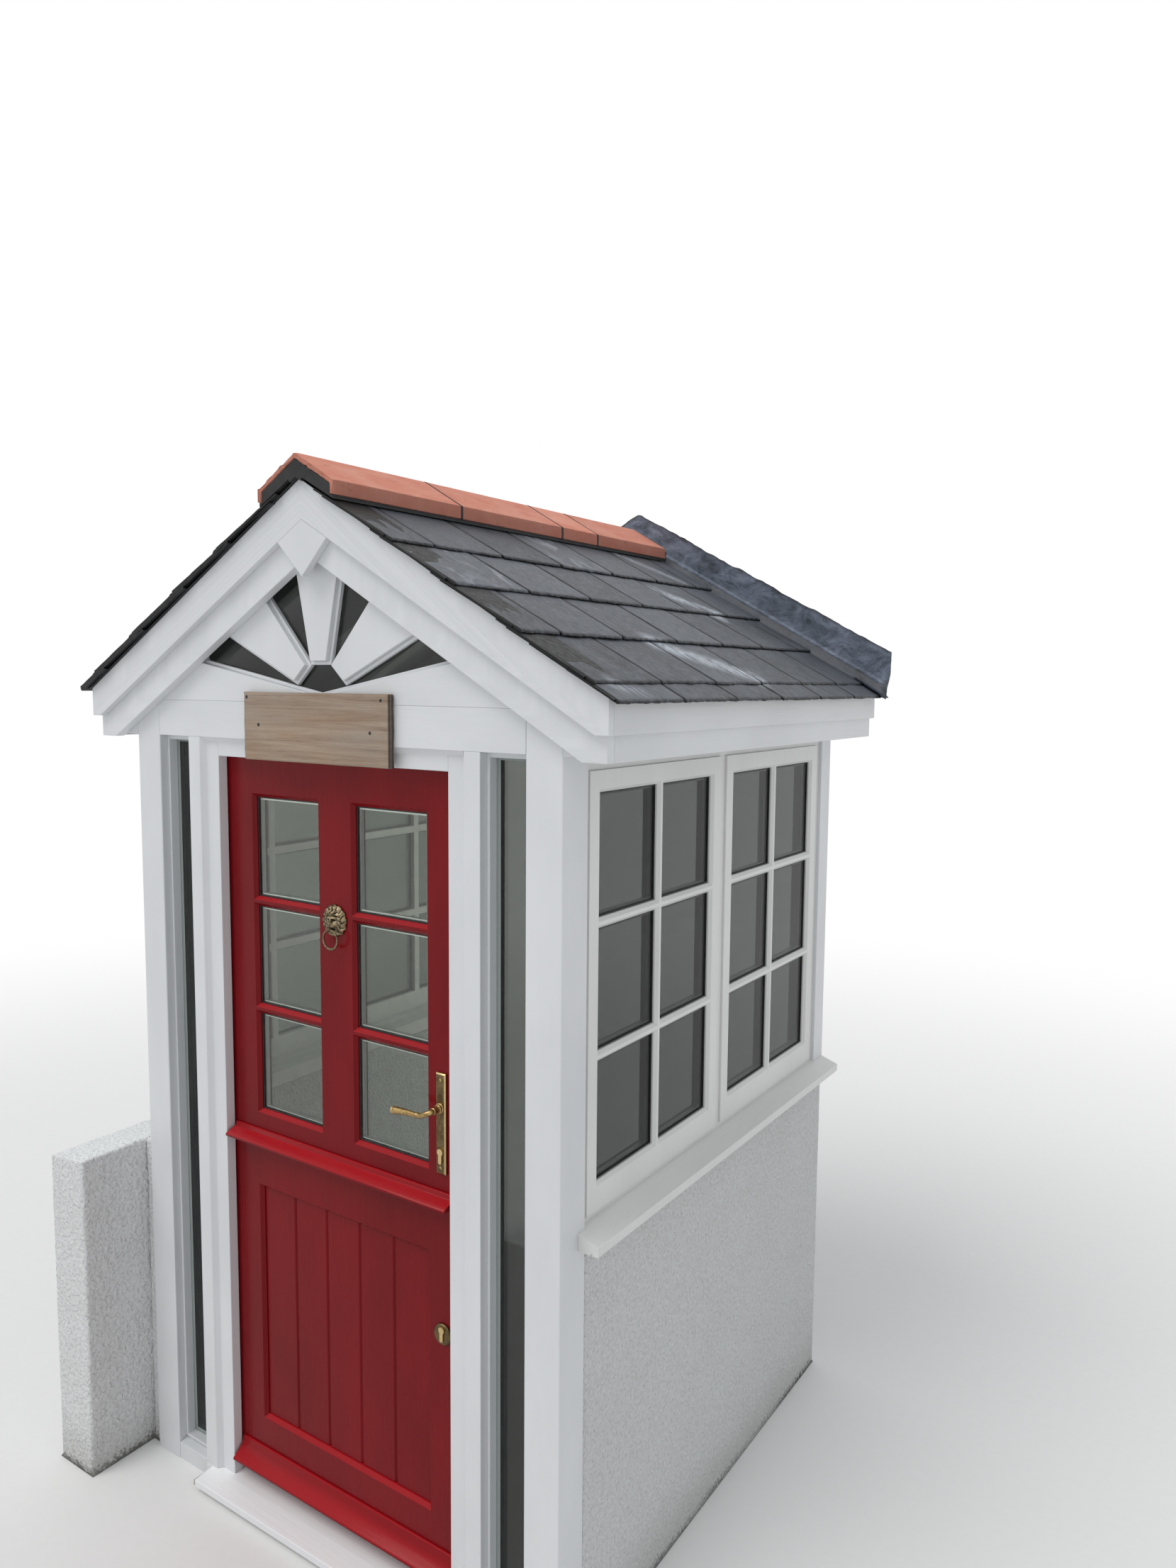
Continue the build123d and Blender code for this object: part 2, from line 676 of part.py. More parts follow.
def slope_point(distance, lift):
    """Point at a distance down the slope and a square height over the roof plane."""
    x = distance * COS_PITCH + lift * SIN_PITCH
    z = ROOF_APEX - distance * SIN_PITCH + lift * COS_PITCH
    return (x, z)


def slate_edges():
    """Distances down the slope of the lower edges of the courses, eave first."""
    eave = (UPPER_FASCIA_HALF + EAVE_OVERHANG) / COS_PITCH
    edges = [eave, eave - UNDERCOURSE_SHOW]
    while edges[-1] - SLATE_GAUGE > RIDGE_TILE_WING:
        edges.append(edges[-1] - SLATE_GAUGE)
    return edges


def roof_slates():
    """Right slope of slates as one stepped layer, each course lapping the next."""
    edges = slate_edges()
    outline = [slope_point(SLATE_HEAD, 0), slope_point(edges[0], 0)]
    for edge, upper in zip(edges, edges[1:] + [SLATE_HEAD]):
        outline.append(slope_point(edge, SLATE_THICK + SLATE_LIFT))
        outline.append(slope_point(upper, SLATE_LIFT))
    return front_plate(outline, -VERGE_OVERHANG, ROOF_END)


def mirrored_outline(top, right, low):
    """Closed outline from its top point, right half and lowest middle point."""
    left = [(-x, z) for x, z in reversed(right)]
    return [top] + right + [low] + left


def ridge_section():
    """Closed outline of one ridge tile: two wings with turned-down lips."""
    right = [
        (RIDGE_TIP_X, RIDGE_TIP_Z),
        (RIDGE_TIP_X, RIDGE_LIP_Z),
        (RIDGE_INNER_X, RIDGE_LIP_Z),
        (RIDGE_INNER_X, RIDGE_INNER_PEAK - RIDGE_INNER_X * SLOPE),
    ]
    return mirrored_outline((0, RIDGE_PEAK), right, (0, RIDGE_INNER_PEAK))


def ridge_tiles():
    """Clay ridge tiles: two whole, one cut short and a last one up to the wall."""
    solids = []
    start = -VERGE_OVERHANG
    for joint in ridge_joints():
        solids.append(front_plate(ridge_section(), start, joint - RIDGE_JOINT))
        start = joint
    solids.append(front_plate(ridge_section(), start, RIDGE_END))
    return solids


def ridge_joints():
    """Where each ridge tile after the first one starts."""
    first = -VERGE_OVERHANG + RIDGE_TILE_LENGTH
    second = first + RIDGE_TILE_LENGTH
    return [first, second, second + RIDGE_CUT_TILE]


def ridge_mortar():
    """Dark mortar that beds the ridge tiles on the slates and shows at their joints."""
    edge_x = RIDGE_TIP_X - MORTAR_SETBACK
    top_course = slate_edges()[-1]
    distance = edge_x / COS_PITCH
    rise = SLATE_THICK * (distance - SLATE_HEAD) / (top_course - SLATE_HEAD)
    foot = slope_point(distance - (SLATE_LIFT + rise) * SLOPE, SLATE_LIFT + rise)
    right = [
        (RIDGE_INNER_X, RIDGE_INNER_PEAK - RIDGE_INNER_X * SLOPE),
        (RIDGE_INNER_X, RIDGE_LIP_Z),
        (foot[0], RIDGE_LIP_Z),
        foot,
        slope_point(SLATE_HEAD, SLATE_LIFT),
        slope_point(SLATE_HEAD, 0),
    ]
    outline = mirrored_outline((0, RIDGE_INNER_PEAK), right, (0, roof_z(0)))
    bed = front_plate(outline, -VERGE_OVERHANG + MORTAR_SETBACK, ROOF_END)
    slates = roof_slates()
    bed = bed - slates - other_side(slates)
    for joint in ridge_joints():
        bed += front_plate(ridge_section(), joint - RIDGE_JOINT, joint)
    return bed


def lead_flashing():
    """Lead against the house wall: an upstand, aprons on the slates and a saddle behind the ridge."""
    half = UPPER_FASCIA_HALF + LEAD_OVERHANG
    lift = SLATE_THICK + SLATE_LIFT
    top_end = roof_z(half) + LEAD_RISE_EAVE
    right = [(half, top_end), (half, roof_z(half, -lift))]
    upstand_outline = mirrored_outline((0, ROOF_APEX + LEAD_RISE_RIDGE), right, (0, roof_z(0)))
    lead = front_plate(upstand_outline, ROOF_END, PORCH_DEPTH)
    apron = [
        (RIDGE_TIP_X, roof_z(RIDGE_TIP_X, -lift - LEAD_THICK)),
        (half, roof_z(half, -lift - LEAD_THICK)),
        (half, roof_z(half, -lift)),
        (RIDGE_TIP_X, roof_z(RIDGE_TIP_X, -lift)),
    ]
    saddle_right = [
        (RIDGE_INNER_X, RIDGE_INNER_PEAK - RIDGE_INNER_X * SLOPE + LEAD_THICK),
        (RIDGE_INNER_X, RIDGE_INNER_PEAK - RIDGE_INNER_X * SLOPE),
    ]
    saddle = mirrored_outline((0, RIDGE_INNER_PEAK + LEAD_THICK), saddle_right, (0, RIDGE_INNER_PEAK))
    right_apron = front_plate(apron, ROOF_END - LEAD_LAP, ROOF_END)
    lead += right_apron + other_side(right_apron)
    return lead + front_plate(saddle, RIDGE_END, ROOF_END)


# Side windows
def window_frame():
    """Frame of the right window: head, jambs, mullion and a low sill rail."""
    x1 = WINDOW_FACE
    x0 = x1 - WINDOW_FRAME_DEPTH
    rail_top = window_foot() + WINDOW_SILL_RAIL
    frame = span_box(x0, x1, WINDOW_START, WINDOW_END, window_foot(), WINDOW_TOP)
    for y0, y1 in sash_spans():
        frame -= span_box(x0 - 1, x1 + 1, y0, y1, rail_top, WINDOW_TOP - WINDOW_HEAD)
    return frame


def window_foot():
    """Height of the underside of the window frame."""
    return WALL_TOP + WINDOW_SILL_THICK + WINDOW_SILL_FALL


def sash_spans():
    """The stretches along Y that the two sashes of a side window fill."""
    start = WINDOW_START + WINDOW_JAMB_FRONT
    end = WINDOW_END - WINDOW_JAMB_REAR
    width = (end - start - WINDOW_MULLION) / 2
    return [(start, start + width), (end - width, end)]


def sash_heights():
    """Foot and top of the sashes."""
    return (window_foot() + WINDOW_SILL_RAIL, WINDOW_TOP - WINDOW_HEAD)


def sash_panes(y0, y1):
    """Clear openings of one sash as y0, y1, z0, z1."""
    foot, top = sash_heights()
    inner_y0 = y0 + SASH_STILE
    inner_y1 = y1 - SASH_STILE
    inner_z0 = foot + SASH_BOTTOM_RAIL
    inner_z1 = top - SASH_TOP_RAIL
    width = (inner_y1 - inner_y0 - (SASH_COLUMNS - 1) * SASH_BAR) / SASH_COLUMNS
    height = (inner_z1 - inner_z0 - (SASH_ROWS - 1) * SASH_BAR) / SASH_ROWS
    panes = []
    for column in range(SASH_COLUMNS):
        for row in range(SASH_ROWS):
            a = inner_y0 + column * (width + SASH_BAR)
            b = inner_z0 + row * (height + SASH_BAR)
            panes.append((a, a + width, b, b + height))
    return panes


def tapered_hole(axis_low, axis_high, cross, moulding):
    """Straight hole through a leaf or sash, splayed by a moulding at its outer face.

    cross gives the low and high limits of the hole across and up the leaf. The hole
    runs from axis_low to axis_high, with its splayed mouth at axis_high.
    """
    a0, a1, b0, b1 = cross
    width = a1 - a0
    height = b1 - b0
    depth = abs(axis_high - axis_low)
    straight = Box(width, height, depth, align=(Align.CENTER, Align.CENTER, Align.MIN))
    mouth_base = Plane.XY.offset(depth - moulding) * Rectangle(width, height)
    mouth_top = Plane.XY.offset(depth) * Rectangle(width + 2 * moulding, height + 2 * moulding)
    return straight + loft([mouth_base, mouth_top])


def window_sashes():
    """The two sashes of the right window, each with its glazing bars."""
    foot, top = sash_heights()
    face = WINDOW_FACE + SASH_PROUD
    solids = []
    for y0, y1 in sash_spans():
        sash = span_box(face - SASH_DEPTH, face, y0, y1, foot, top)
        for pane in sash_panes(y0, y1):
            hole = tapered_hole(face - SASH_DEPTH, face, pane, SASH_MOULDING)
            centre_y = (pane[0] + pane[1]) / 2
            centre_z = (pane[2] + pane[3]) / 2
            place = Plane(origin=(face - SASH_DEPTH, centre_y, centre_z), x_dir=(0, 1, 0), z_dir=(1, 0, 0))
            sash -= place * hole
        solids.append(sash)
    return solids


def window_glass():
    """Sealed units of the right window, one in each opening."""
    face = WINDOW_FACE + SASH_PROUD - SASH_UNIT_SET_BACK
    solids = []
    for y0, y1 in sash_spans():
        for a, b, c, d in sash_panes(y0, y1):
            solids.append(span_box(face - SASH_UNIT_THICK, face, a, b, c, d))
    return solids


def window_sill():
    """Sloping sill of the right window with a drip groove under its nose."""
    inner = HALF_WIDTH - WALL_THICK
    nose = HALF_WIDTH + WINDOW_SILL_PROJECTION
    back_top = WALL_TOP + WINDOW_SILL_THICK + WINDOW_SILL_FALL
    nose_top = back_top - WINDOW_SILL_FALL
    frame_back = WINDOW_FACE - WINDOW_FRAME_DEPTH
    groove_x = nose - 3 * DRIP_GROOVE
    outline = [
        (inner, WALL_TOP),
        (groove_x - DRIP_GROOVE, WALL_TOP),
        (groove_x - DRIP_GROOVE, WALL_TOP + DRIP_GROOVE),
        (groove_x, WALL_TOP + DRIP_GROOVE),
        (groove_x, WALL_TOP),
        (nose, WALL_TOP),
        (nose, nose_top),
        (WINDOW_FACE, back_top),
        (frame_back, back_top),
        (inner, back_top),
    ]
    sill = front_plate(outline, WINDOW_SILL_FRONT, PORCH_DEPTH)
    front = span_box(inner, HALF_WIDTH, 0, POST, WALL_TOP, HEAD_HEIGHT)
    rear = span_box(POST_INNER, HALF_WIDTH, WINDOW_END, PORCH_DEPTH, WALL_TOP, HEAD_HEIGHT)
    return sill - front - rear


# Door leaves
def leaf_panes():
    """Clear openings of the upper leaf as x0, x1, z0, z1."""
    x_left = LEAF_LEFT + LEAF_STILE + MOULDING
    x_right = LEAF_RIGHT - LOCK_STILE - MOULDING
    middle = (LEAF_LEFT + LEAF_RIGHT) / 2
    half_centre = CENTRE_STILE / 2 + MOULDING
    z_low = UPPER_LEAF_FOOT + UPPER_BOTTOM_RAIL + MOULDING
    z_high = LEAF_TOP - TOP_RAIL - MOULDING
    height = (z_high - z_low - (PANE_ROWS - 1) * GLAZING_BAR) / PANE_ROWS
    panes = []
    for x0, x1 in ((x_left, middle - half_centre), (middle + half_centre, x_right)):
        for row in range(PANE_ROWS):
            z0 = z_low + row * (height + GLAZING_BAR)
            panes.append((x0, x1, z0, z0 + height))
    return panes


def upper_leaf():
    """Upper leaf with its six splayed openings and the bore for the spindle."""
    leaf = span_box(LEAF_LEFT, LEAF_RIGHT, LEAF_FRONT, LEAF_BACK, UPPER_LEAF_FOOT, LEAF_TOP)
    for pane in leaf_panes():
        hole = tapered_hole(LEAF_BACK, LEAF_FRONT, pane, MOULDING)
        centre_x = (pane[0] + pane[1]) / 2
        centre_z = (pane[2] + pane[3]) / 2
        place = Plane(origin=(centre_x, LEAF_BACK, centre_z), x_dir=(1, 0, 0), z_dir=(0, -1, 0))
        leaf -= place * hole
    leaf -= y_rod(HANDLE_X, SPINDLE_HEIGHT, LEAF_FRONT - 1, LEAF_BACK + 1, SPINDLE_BORE)
    return leaf - cylinder_body(LEAF_FRONT - 1, LEAF_BACK + 1, SPINDLE_HEIGHT - CYLINDER_DROP)


def upper_glass():
    """Sealed units of the upper leaf."""
    y0 = LEAF_FRONT + PANE_SET_BACK
    return [span_box(x0, x1, y0, y0 + PANE_UNIT_THICK, z0, z1) for x0, x1, z0, z1 in leaf_panes()]


def weatherbar(foot, rise):
    """Moulded weatherbar: a scooped top running out to a rounded nose."""
    x0 = -OPEN_HALF + BAR_END_HINGE
    x1 = OPEN_HALF - BAR_END_LOCK
    nose = LEAF_FRONT - BAR_PROJECTION
    lip = 9.0
    top = foot + rise
    outline = [
        (LEAF_FRONT, foot),
        (LEAF_FRONT, top),
        (LEAF_FRONT - 6, top),
        (LEAF_FRONT - 11, top - 0.32 * rise),
        (LEAF_FRONT - 22, foot + lip + 0.24 * rise),
        (nose + 4, foot + lip + 1),
        (nose, foot + lip - 3),
        (nose, foot + 2),
        (nose + 2, foot),
    ]
    return side_bar(outline, x0, x1)


def lower_leaf():
    """Stiles and rails of the lower leaf around its boarded panel."""
    leaf = span_box(LEAF_LEFT, LEAF_RIGHT, LEAF_FRONT, LEAF_BACK, LEAF_FOOT, LOWER_LEAF_TOP)
    x0, x1, z0, z1 = panel_limits()
    hole = tapered_hole(LEAF_BACK, LEAF_FRONT, (x0, x1, z0, z1), MOULDING)
    place = Plane(origin=((x0 + x1) / 2, LEAF_BACK, (z0 + z1) / 2), x_dir=(1, 0, 0), z_dir=(0, -1, 0))
    leaf -= place * hole
    return leaf - cylinder_body(LEAF_FRONT - 1, LEAF_BACK + 1, ESCUTCHEON_HEIGHT)


def panel_limits():
    """Clear opening of the lower leaf as x0, x1, z0, z1."""
    x0 = LEAF_LEFT + LEAF_STILE + MOULDING
    x1 = LEAF_RIGHT - LOCK_STILE - MOULDING
    z0 = LEAF_FOOT + LOWER_BOTTOM_RAIL + MOULDING
    z1 = LOWER_LEAF_TOP - LOWER_TOP_RAIL - MOULDING
    return (x0, x1, z0, z1)


def boarded_panel():
    """Panel of upright boards with a V groove at each joint, front and back."""
    x0, x1, z0, z1 = panel_limits()
    y0 = LEAF_FRONT + BOARD_RECESS
    y1 = y0 + BOARD_THICK
    pitch = (x1 - x0) / BOARD_COUNT
    front = [(x0, y0)]
    back = [(x0, y1)]
    for index in range(1, BOARD_COUNT):
        joint = x0 + index * pitch
        front += [(joint - GROOVE, y0), (joint, y0 + GROOVE), (joint + GROOVE, y0)]
        back += [(joint - GROOVE, y1), (joint, y1 - GROOVE), (joint + GROOVE, y1)]
    front.append((x1, y0))
    back.append((x1, y1))
    return plan_prism(front + list(reversed(back)), z0, z1)


# Hinges
def hinge(z0, moving):
    """One leaf of a butt hinge: a plate on the frame or on the door, and its knuckles."""
    segment = HINGE_LENGTH / KNUCKLE_COUNT
    door_face = LEAF_LEFT - HINGE_PLATE
    frame_face = -REBATE_HALF
    x0 = door_face if moving else frame_face
    plate_back = LEAF_BACK - 0.5
    solid = span_box(x0, x0 + HINGE_PLATE, LEAF_BACK - HINGE_PLATE_WIDTH, plate_back, z0, z0 + HINGE_LENGTH)
    for index in range(KNUCKLE_COUNT):
        if (index % 2 == 1) != moving:
            continue
        a = z0 + index * segment + (KNUCKLE_GAP if moving else 0)
        b = z0 + (index + 1) * segment - (KNUCKLE_GAP if moving else 0)
        solid += span_box(x0, x0 + HINGE_PLATE, plate_back, PIN_Y, a, b)
        solid += z_bar(PIN_X, PIN_Y, a, b, KNUCKLE_RADIUS, KNUCKLE_SIDES)
    if moving:
        bore = (PIN_RADIUS + PIN_CLEARANCE) / math.cos(math.pi / KNUCKLE_SIDES)
        return solid - z_bar(PIN_X, PIN_Y, z0 - 1, z0 + HINGE_LENGTH + 1, bore, KNUCKLE_SIDES)
    return solid + z_bar(PIN_X, PIN_Y, z0, z0 + HINGE_LENGTH, PIN_RADIUS, KNUCKLE_SIDES)


def hinge_feet():
    """Heights of the hinges on the upper and on the lower leaf."""
    upper = [UPPER_LEAF_FOOT + HINGE_END_LOW, LEAF_TOP - HINGE_END - HINGE_LENGTH]
    lower = [LEAF_FOOT + HINGE_END, LOWER_LEAF_TOP - HINGE_END_LOW - HINGE_LENGTH]
    return upper, lower


# Door furniture
def cylinder_body(y0, y1, z):
    """Keyhole-shaped lock cylinder: a round head over a narrower web."""
    web = span_box(HANDLE_X - CYLINDER_WEB / 2, HANDLE_X + CYLINDER_WEB / 2, y0, y1, z - CYLINDER_DEPTH, z)
    foot = y_rod(HANDLE_X, z - CYLINDER_DEPTH, y0, y1, CYLINDER_WEB / 2)
    return y_rod(HANDLE_X, z, y0, y1, CYLINDER_RADIUS) + web + foot


def handle_plate(front):
    """Long square-cornered backplate with a bevelled edge; front is True on the outside."""
    top = SPINDLE_HEIGHT + PLATE_TOP_RISE
    foot = top - PLATE_HEIGHT
    y0, y1 = (LEAF_FRONT - PLATE_THICK, LEAF_FRONT) if front else (LEAF_BACK, LEAF_BACK + PLATE_THICK)
    plate = span_box(HANDLE_X - PLATE_WIDTH / 2, HANDLE_X + PLATE_WIDTH / 2, y0, y1, foot, top)
    face = plate.faces().sort_by(Axis.Y)[0 if front else -1]
    plate = chamfer(face.edges(), PLATE_BEVEL)
    plate -= y_rod(HANDLE_X, SPINDLE_HEIGHT, y0 - 1, y1 + 1, SPINDLE_BORE)
    return plate - cylinder_body(y0 - 1, y1 + 1, SPINDLE_HEIGHT - CYLINDER_DROP)


def tapered_bar(stations, sides):
    """Many-sided bar through stations, each a centre, a direction and a radius."""
    faces = []
    for centre, direction, radius in stations:
        plane = Plane(origin=centre, x_dir=(0, 0, 1) if abs(direction[2]) < 0.5 else (1, 0, 0), z_dir=direction)
        faces.append(plane * RegularPolygon(radius, sides))
    return loft(faces, ruled=True)


def lever_arm(side):
    """Boss, ringed neck and swan-neck lever on one face of the door; side is -1 outside, 1 inside."""
    plate_face = LEAF_FRONT - PLATE_THICK if side < 0 else LEAF_BACK + PLATE_THICK
    start = plate_face + side * LEVER_RUN_CLEARANCE
    boss_end = start + side * LEVER_BOSS_THICK
    ring_end = boss_end + side * LEVER_BOSS_THICK
    centre = plate_face + side * LEVER_STANDOFF
    z = SPINDLE_HEIGHT
    tip = HANDLE_X - LEVER_LENGTH
    boss = y_rod(HANDLE_X, z, min(start, boss_end), max(start, boss_end), LEVER_BOSS_RADIUS)
    ring = y_rod(HANDLE_X, z, min(boss_end, ring_end), max(boss_end, ring_end), LEVER_RING_RADIUS)
    bend = 2 * NECK_RADIUS
    run = LEVER_LENGTH - bend
    half_bend = (-0.4, side, 0)
    down = (-1, 0, -LEVER_DROP / run)
    stations = [
        ((HANDLE_X, boss_end, z), (0, side, 0), NECK_RADIUS),
        ((HANDLE_X, centre - side * bend, z), (0, side, 0), NECK_RADIUS),
        ((HANDLE_X - 0.2 * bend, centre - side * 0.4 * bend, z), half_bend, NECK_RADIUS),
        ((HANDLE_X - bend, centre, z), down, LEVER_RADIUS),
        ((HANDLE_X - bend - 0.38 * run, centre, z - 0.46 * LEVER_DROP), down, LEVER_RADIUS),
        ((HANDLE_X - bend - 0.40 * run, centre, z - 0.48 * LEVER_DROP), down, LEVER_COLLAR_RADIUS),
        ((HANDLE_X - bend - 0.43 * run, centre, z - 0.50 * LEVER_DROP), down, LEVER_RADIUS),
        ((tip + 2 * FINIAL_RADIUS, centre, z - LEVER_DROP), down, LEVER_TIP_RADIUS),
        ((tip + FINIAL_RADIUS, centre, z - LEVER_DROP), down, FINIAL_RADIUS),
        ((tip, centre, z - LEVER_DROP), down, FINIAL_RADIUS),
    ]
    return boss + ring + tapered_bar(stations, LEVER_SIDES)


def lever_handle():
    """Both levers on their shared spindle."""
    spindle = y_rod(HANDLE_X, SPINDLE_HEIGHT, LEAF_FRONT - PLATE_THICK - 1, LEAF_BACK + PLATE_THICK + 1,
                    SPINDLE_RADIUS)
    return lever_arm(-1) + lever_arm(1) + spindle


def lock_cylinder():
    """Cylinder of the upper leaf, a little proud of both plates."""
    z = SPINDLE_HEIGHT - CYLINDER_DROP
    reach = PLATE_THICK + CYLINDER_PROUD
    return cylinder_body(LEAF_FRONT - reach, LEAF_BACK + reach, z)


def escutcheon(front):
    """Round domed escutcheon of the lower lock."""
    y0, y1 = (LEAF_FRONT - ESCUTCHEON_THICK, LEAF_FRONT) if front else (LEAF_BACK, LEAF_BACK + ESCUTCHEON_THICK)
    rose = y_rod(HANDLE_X, ESCUTCHEON_HEIGHT - CYLINDER_DEPTH / 2, y0, y1, ESCUTCHEON_RADIUS)
    face = rose.faces().sort_by(Axis.Y)[0 if front else -1]
    rose = chamfer(face.edges(), ESCUTCHEON_BEVEL)
    return rose - cylinder_body(y0 - 1, y1 + 1, ESCUTCHEON_HEIGHT)


def lower_cylinder():
    """Cylinder of the lower lock."""
    reach = ESCUTCHEON_THICK + CYLINDER_PROUD
    return cylinder_body(LEAF_FRONT - reach, LEAF_BACK + reach, ESCUTCHEON_HEIGHT)


def ring_pivot():
    """Centre line of the ring's swing, as y and z."""
    return (LEAF_FRONT - RING_STANDOFF, KNOCKER_HEIGHT - RING_DROP)


def lobed_disc(radius, notch, lobes, thick, turn):
    """Flat disc with notches between its locks of mane, on the door's face round the knocker's middle."""
    points = []
    for index in range(2 * lobes):
        angle = math.radians(180 / lobes * index + turn)
        reach = radius if index % 2 == 0 else radius - notch
        points.append((KNOCKER_X + reach * math.sin(angle), KNOCKER_HEIGHT + reach * math.cos(angle)))
    return front_plate(points, LEAF_FRONT - thick, LEAF_FRONT)


def door_cone(z, base, top, thick, sides):
    """Many-sided blunt cone on the door's face, on the knocker's middle line."""
    stations = [((KNOCKER_X, LEAF_FRONT, z), (0, -1, 0), base), ((KNOCKER_X, LEAF_FRONT - thick, z), (0, -1, 0), top)]
    return tapered_bar(stations, sides)


def knocker_head():
    """Lion mask: two tiers of mane locks, a face with its brow and nose, and a jaw that holds the ring."""
    turn = 90 / MANE_LOCKS
    head = lobed_disc(MANE_RADIUS, MANE_NOTCH, MANE_LOCKS, MANE_THICK, 0)
    head += lobed_disc(INNER_MANE_RADIUS, MANE_NOTCH, MANE_LOCKS, INNER_MANE_THICK, turn)
    head += door_cone(KNOCKER_HEIGHT, FACE_RADIUS, BROW_RADIUS, FACE_THICK, MANE_LOCKS)
    brow_z = KNOCKER_HEIGHT + FACE_RADIUS - BROW_RADIUS
    head += door_cone(brow_z, FACE_RADIUS, NOSE_WIDTH, BROW_THICK, MANE_LOCKS)
    pivot_y, pivot_z = ring_pivot()
    nose_top = KNOCKER_HEIGHT + NOSE_RISE
    jaw_foot = pivot_z - JAW_BELOW_PIVOT
    front = LEAF_FRONT - MUZZLE_PROJECTION
    nose_y = LEAF_FRONT - BROW_THICK
    nose = [(nose_y, brow_z), (front, nose_top), (LEAF_FRONT, nose_top), (LEAF_FRONT, brow_z)]
    head += side_bar(nose, KNOCKER_X - NOSE_WIDTH / 2, KNOCKER_X + NOSE_WIDTH / 2)
    jaw = [
        (front, jaw_foot + MUZZLE_BEVEL),
        (front, nose_top),
        (LEAF_FRONT, nose_top),
        (LEAF_FRONT, jaw_foot),
        (front + MUZZLE_BEVEL, jaw_foot),
    ]
    head += side_bar(jaw, KNOCKER_X - JAW_WIDTH / 2, KNOCKER_X + JAW_WIDTH / 2)
    return head - x_rod(KNOCKER_X - MANE_RADIUS, KNOCKER_X + MANE_RADIUS, pivot_y, pivot_z, RING_THICK + RING_PLAY)


def knocker_ring():
    """Ring that hangs through the jaw, with beads at its lowest part."""
    pivot_y, pivot_z = ring_pivot()
    stations = []
    for index in range(RING_SEGMENTS + 1):
        angle = 2 * math.pi * index / RING_SEGMENTS
        centre = (RING_RADIUS * math.cos(angle), RING_RADIUS * math.sin(angle), 0)
        stations.append((centre, (-math.sin(angle), math.cos(angle), 0), RING_THICK))
    half = RING_SEGMENTS // 2
    ring = tapered_bar(stations[:half + 1], RING_SIDES) + tapered_bar(stations[half:], RING_SIDES)
    for index in range(BEAD_COUNT):
        turn = -90 + (index - (BEAD_COUNT - 1) / 2) * BEAD_STEP
        place = Rot(0, 0, turn) * Pos(RING_RADIUS, 0, 0)
        bead = extrude(Plane.XZ * RegularPolygon(BEAD_RADIUS, RING_SIDES), amount=BEAD_RADIUS, both=True)
        ring += place * bead
    return Pos(KNOCKER_X, pivot_y, pivot_z - RING_RADIUS) * (Rot(90, 0, 0) * ring)


def build():
    """Make every node."""
    keep("floor_slab", floor_slab())
    both_sides("dwarf_walls", dwarf_wall())
    keep("left_wing_wall", wing_wall())
    keep("door_sill", door_sill())
    both_sides("corner_posts", corner_post())
    both_sides("rear_posts", rear_post())
    keep("front_lintel", *front_lintel())
    both_sides("wall_plates", wall_plate())
    both_sides("door_jambs", door_jamb())
    keep("door_head", door_head())
    both_sides("sidelight_frames", *sidelight_frame())
    both_sides("sidelight_glass", sidelight_glass())
    keep("gable_board", gable_board())
    keep("sunburst_rays", *sunburst_rays(), *fan_bead().solids())
    keep("gable_glass", gable_glass())
    keep("outer_bargeboards", outer_bargeboards())
    keep("inner_bargeboards", inner_bargeboards())
    keep("apex_block", apex_block())
    keep("name_board", name_board())
    both_sides("upper_fascias", upper_fascia())
    both_sides("lower_fascias", lower_fascia())
    both_sides("soffits", soffit())
    keep("ridge_board", ridge_board())
    both_sides("rafters", *rafters())
    deck = roof_boards()
    keep("roof_boards", deck + other_side(deck))
    both_sides("roof_slates", roof_slates())
    keep("ridge_tiles", *ridge_tiles())
    keep("ridge_mortar", ridge_mortar())
    keep("lead_flashing", lead_flashing())
    both_sides("window_frames", window_frame())
    both_sides("window_sashes", *window_sashes())
    both_sides("window_glass", *window_glass())
    both_sides("window_sills", window_sill())
    keep("upper_door_leaf", upper_leaf())
    keep("upper_door_glass", *upper_glass())
    keep("upper_weatherbar", weatherbar(UPPER_LEAF_FOOT, BAR_HEIGHT))
    keep("handle_plates", handle_plate(True), handle_plate(False))
    keep("upper_lock_cylinder", lock_cylinder())
    keep("lever_handle", lever_handle())
    keep("knocker_head", knocker_head())
    keep("knocker_ring", knocker_ring())
    keep("lower_door_leaf", lower_leaf())
    keep("lower_door_panel", boarded_panel())
    keep("lower_weatherbar", weatherbar(LEAF_FOOT + LOWER_BAR_RISE, LOWER_BAR_HEIGHT))
    keep("lower_escutcheons", escutcheon(True), escutcheon(False))
    keep("lower_lock_cylinder", lower_cylinder())
    upper_feet, lower_feet = hinge_feet()
    keep("frame_hinges", *[hinge(z, False) for z in upper_feet + lower_feet])
    keep("upper_door_hinges", *[hinge(z, True) for z in upper_feet])
    keep("lower_door_hinges", *[hinge(z, True) for z in lower_feet])


build()
os.makedirs("parts", exist_ok=True)
for node, shape in PARTS.items():
    export_step(shape, f"parts/{node}.step")
print(len(PARTS), "nodes")
print("hinge axis", PIN_X, PIN_Y)
print("lever axis", HANDLE_X, SPINDLE_HEIGHT)
print("ring axis", ring_pivot())
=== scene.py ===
"""Finishes and fine detail of a timber entrance porch, built around its solids.

Metres, in the solids' own frame: X to the right along the front, Y to the back and Z up.
"""

import json
import logging
import math
import random
from collections.abc import Callable, Sequence
from dataclasses import dataclass, field
from enum import Enum
from itertools import product

import bmesh
import bpy
import numpy as np
from mathutils import Matrix, Vector

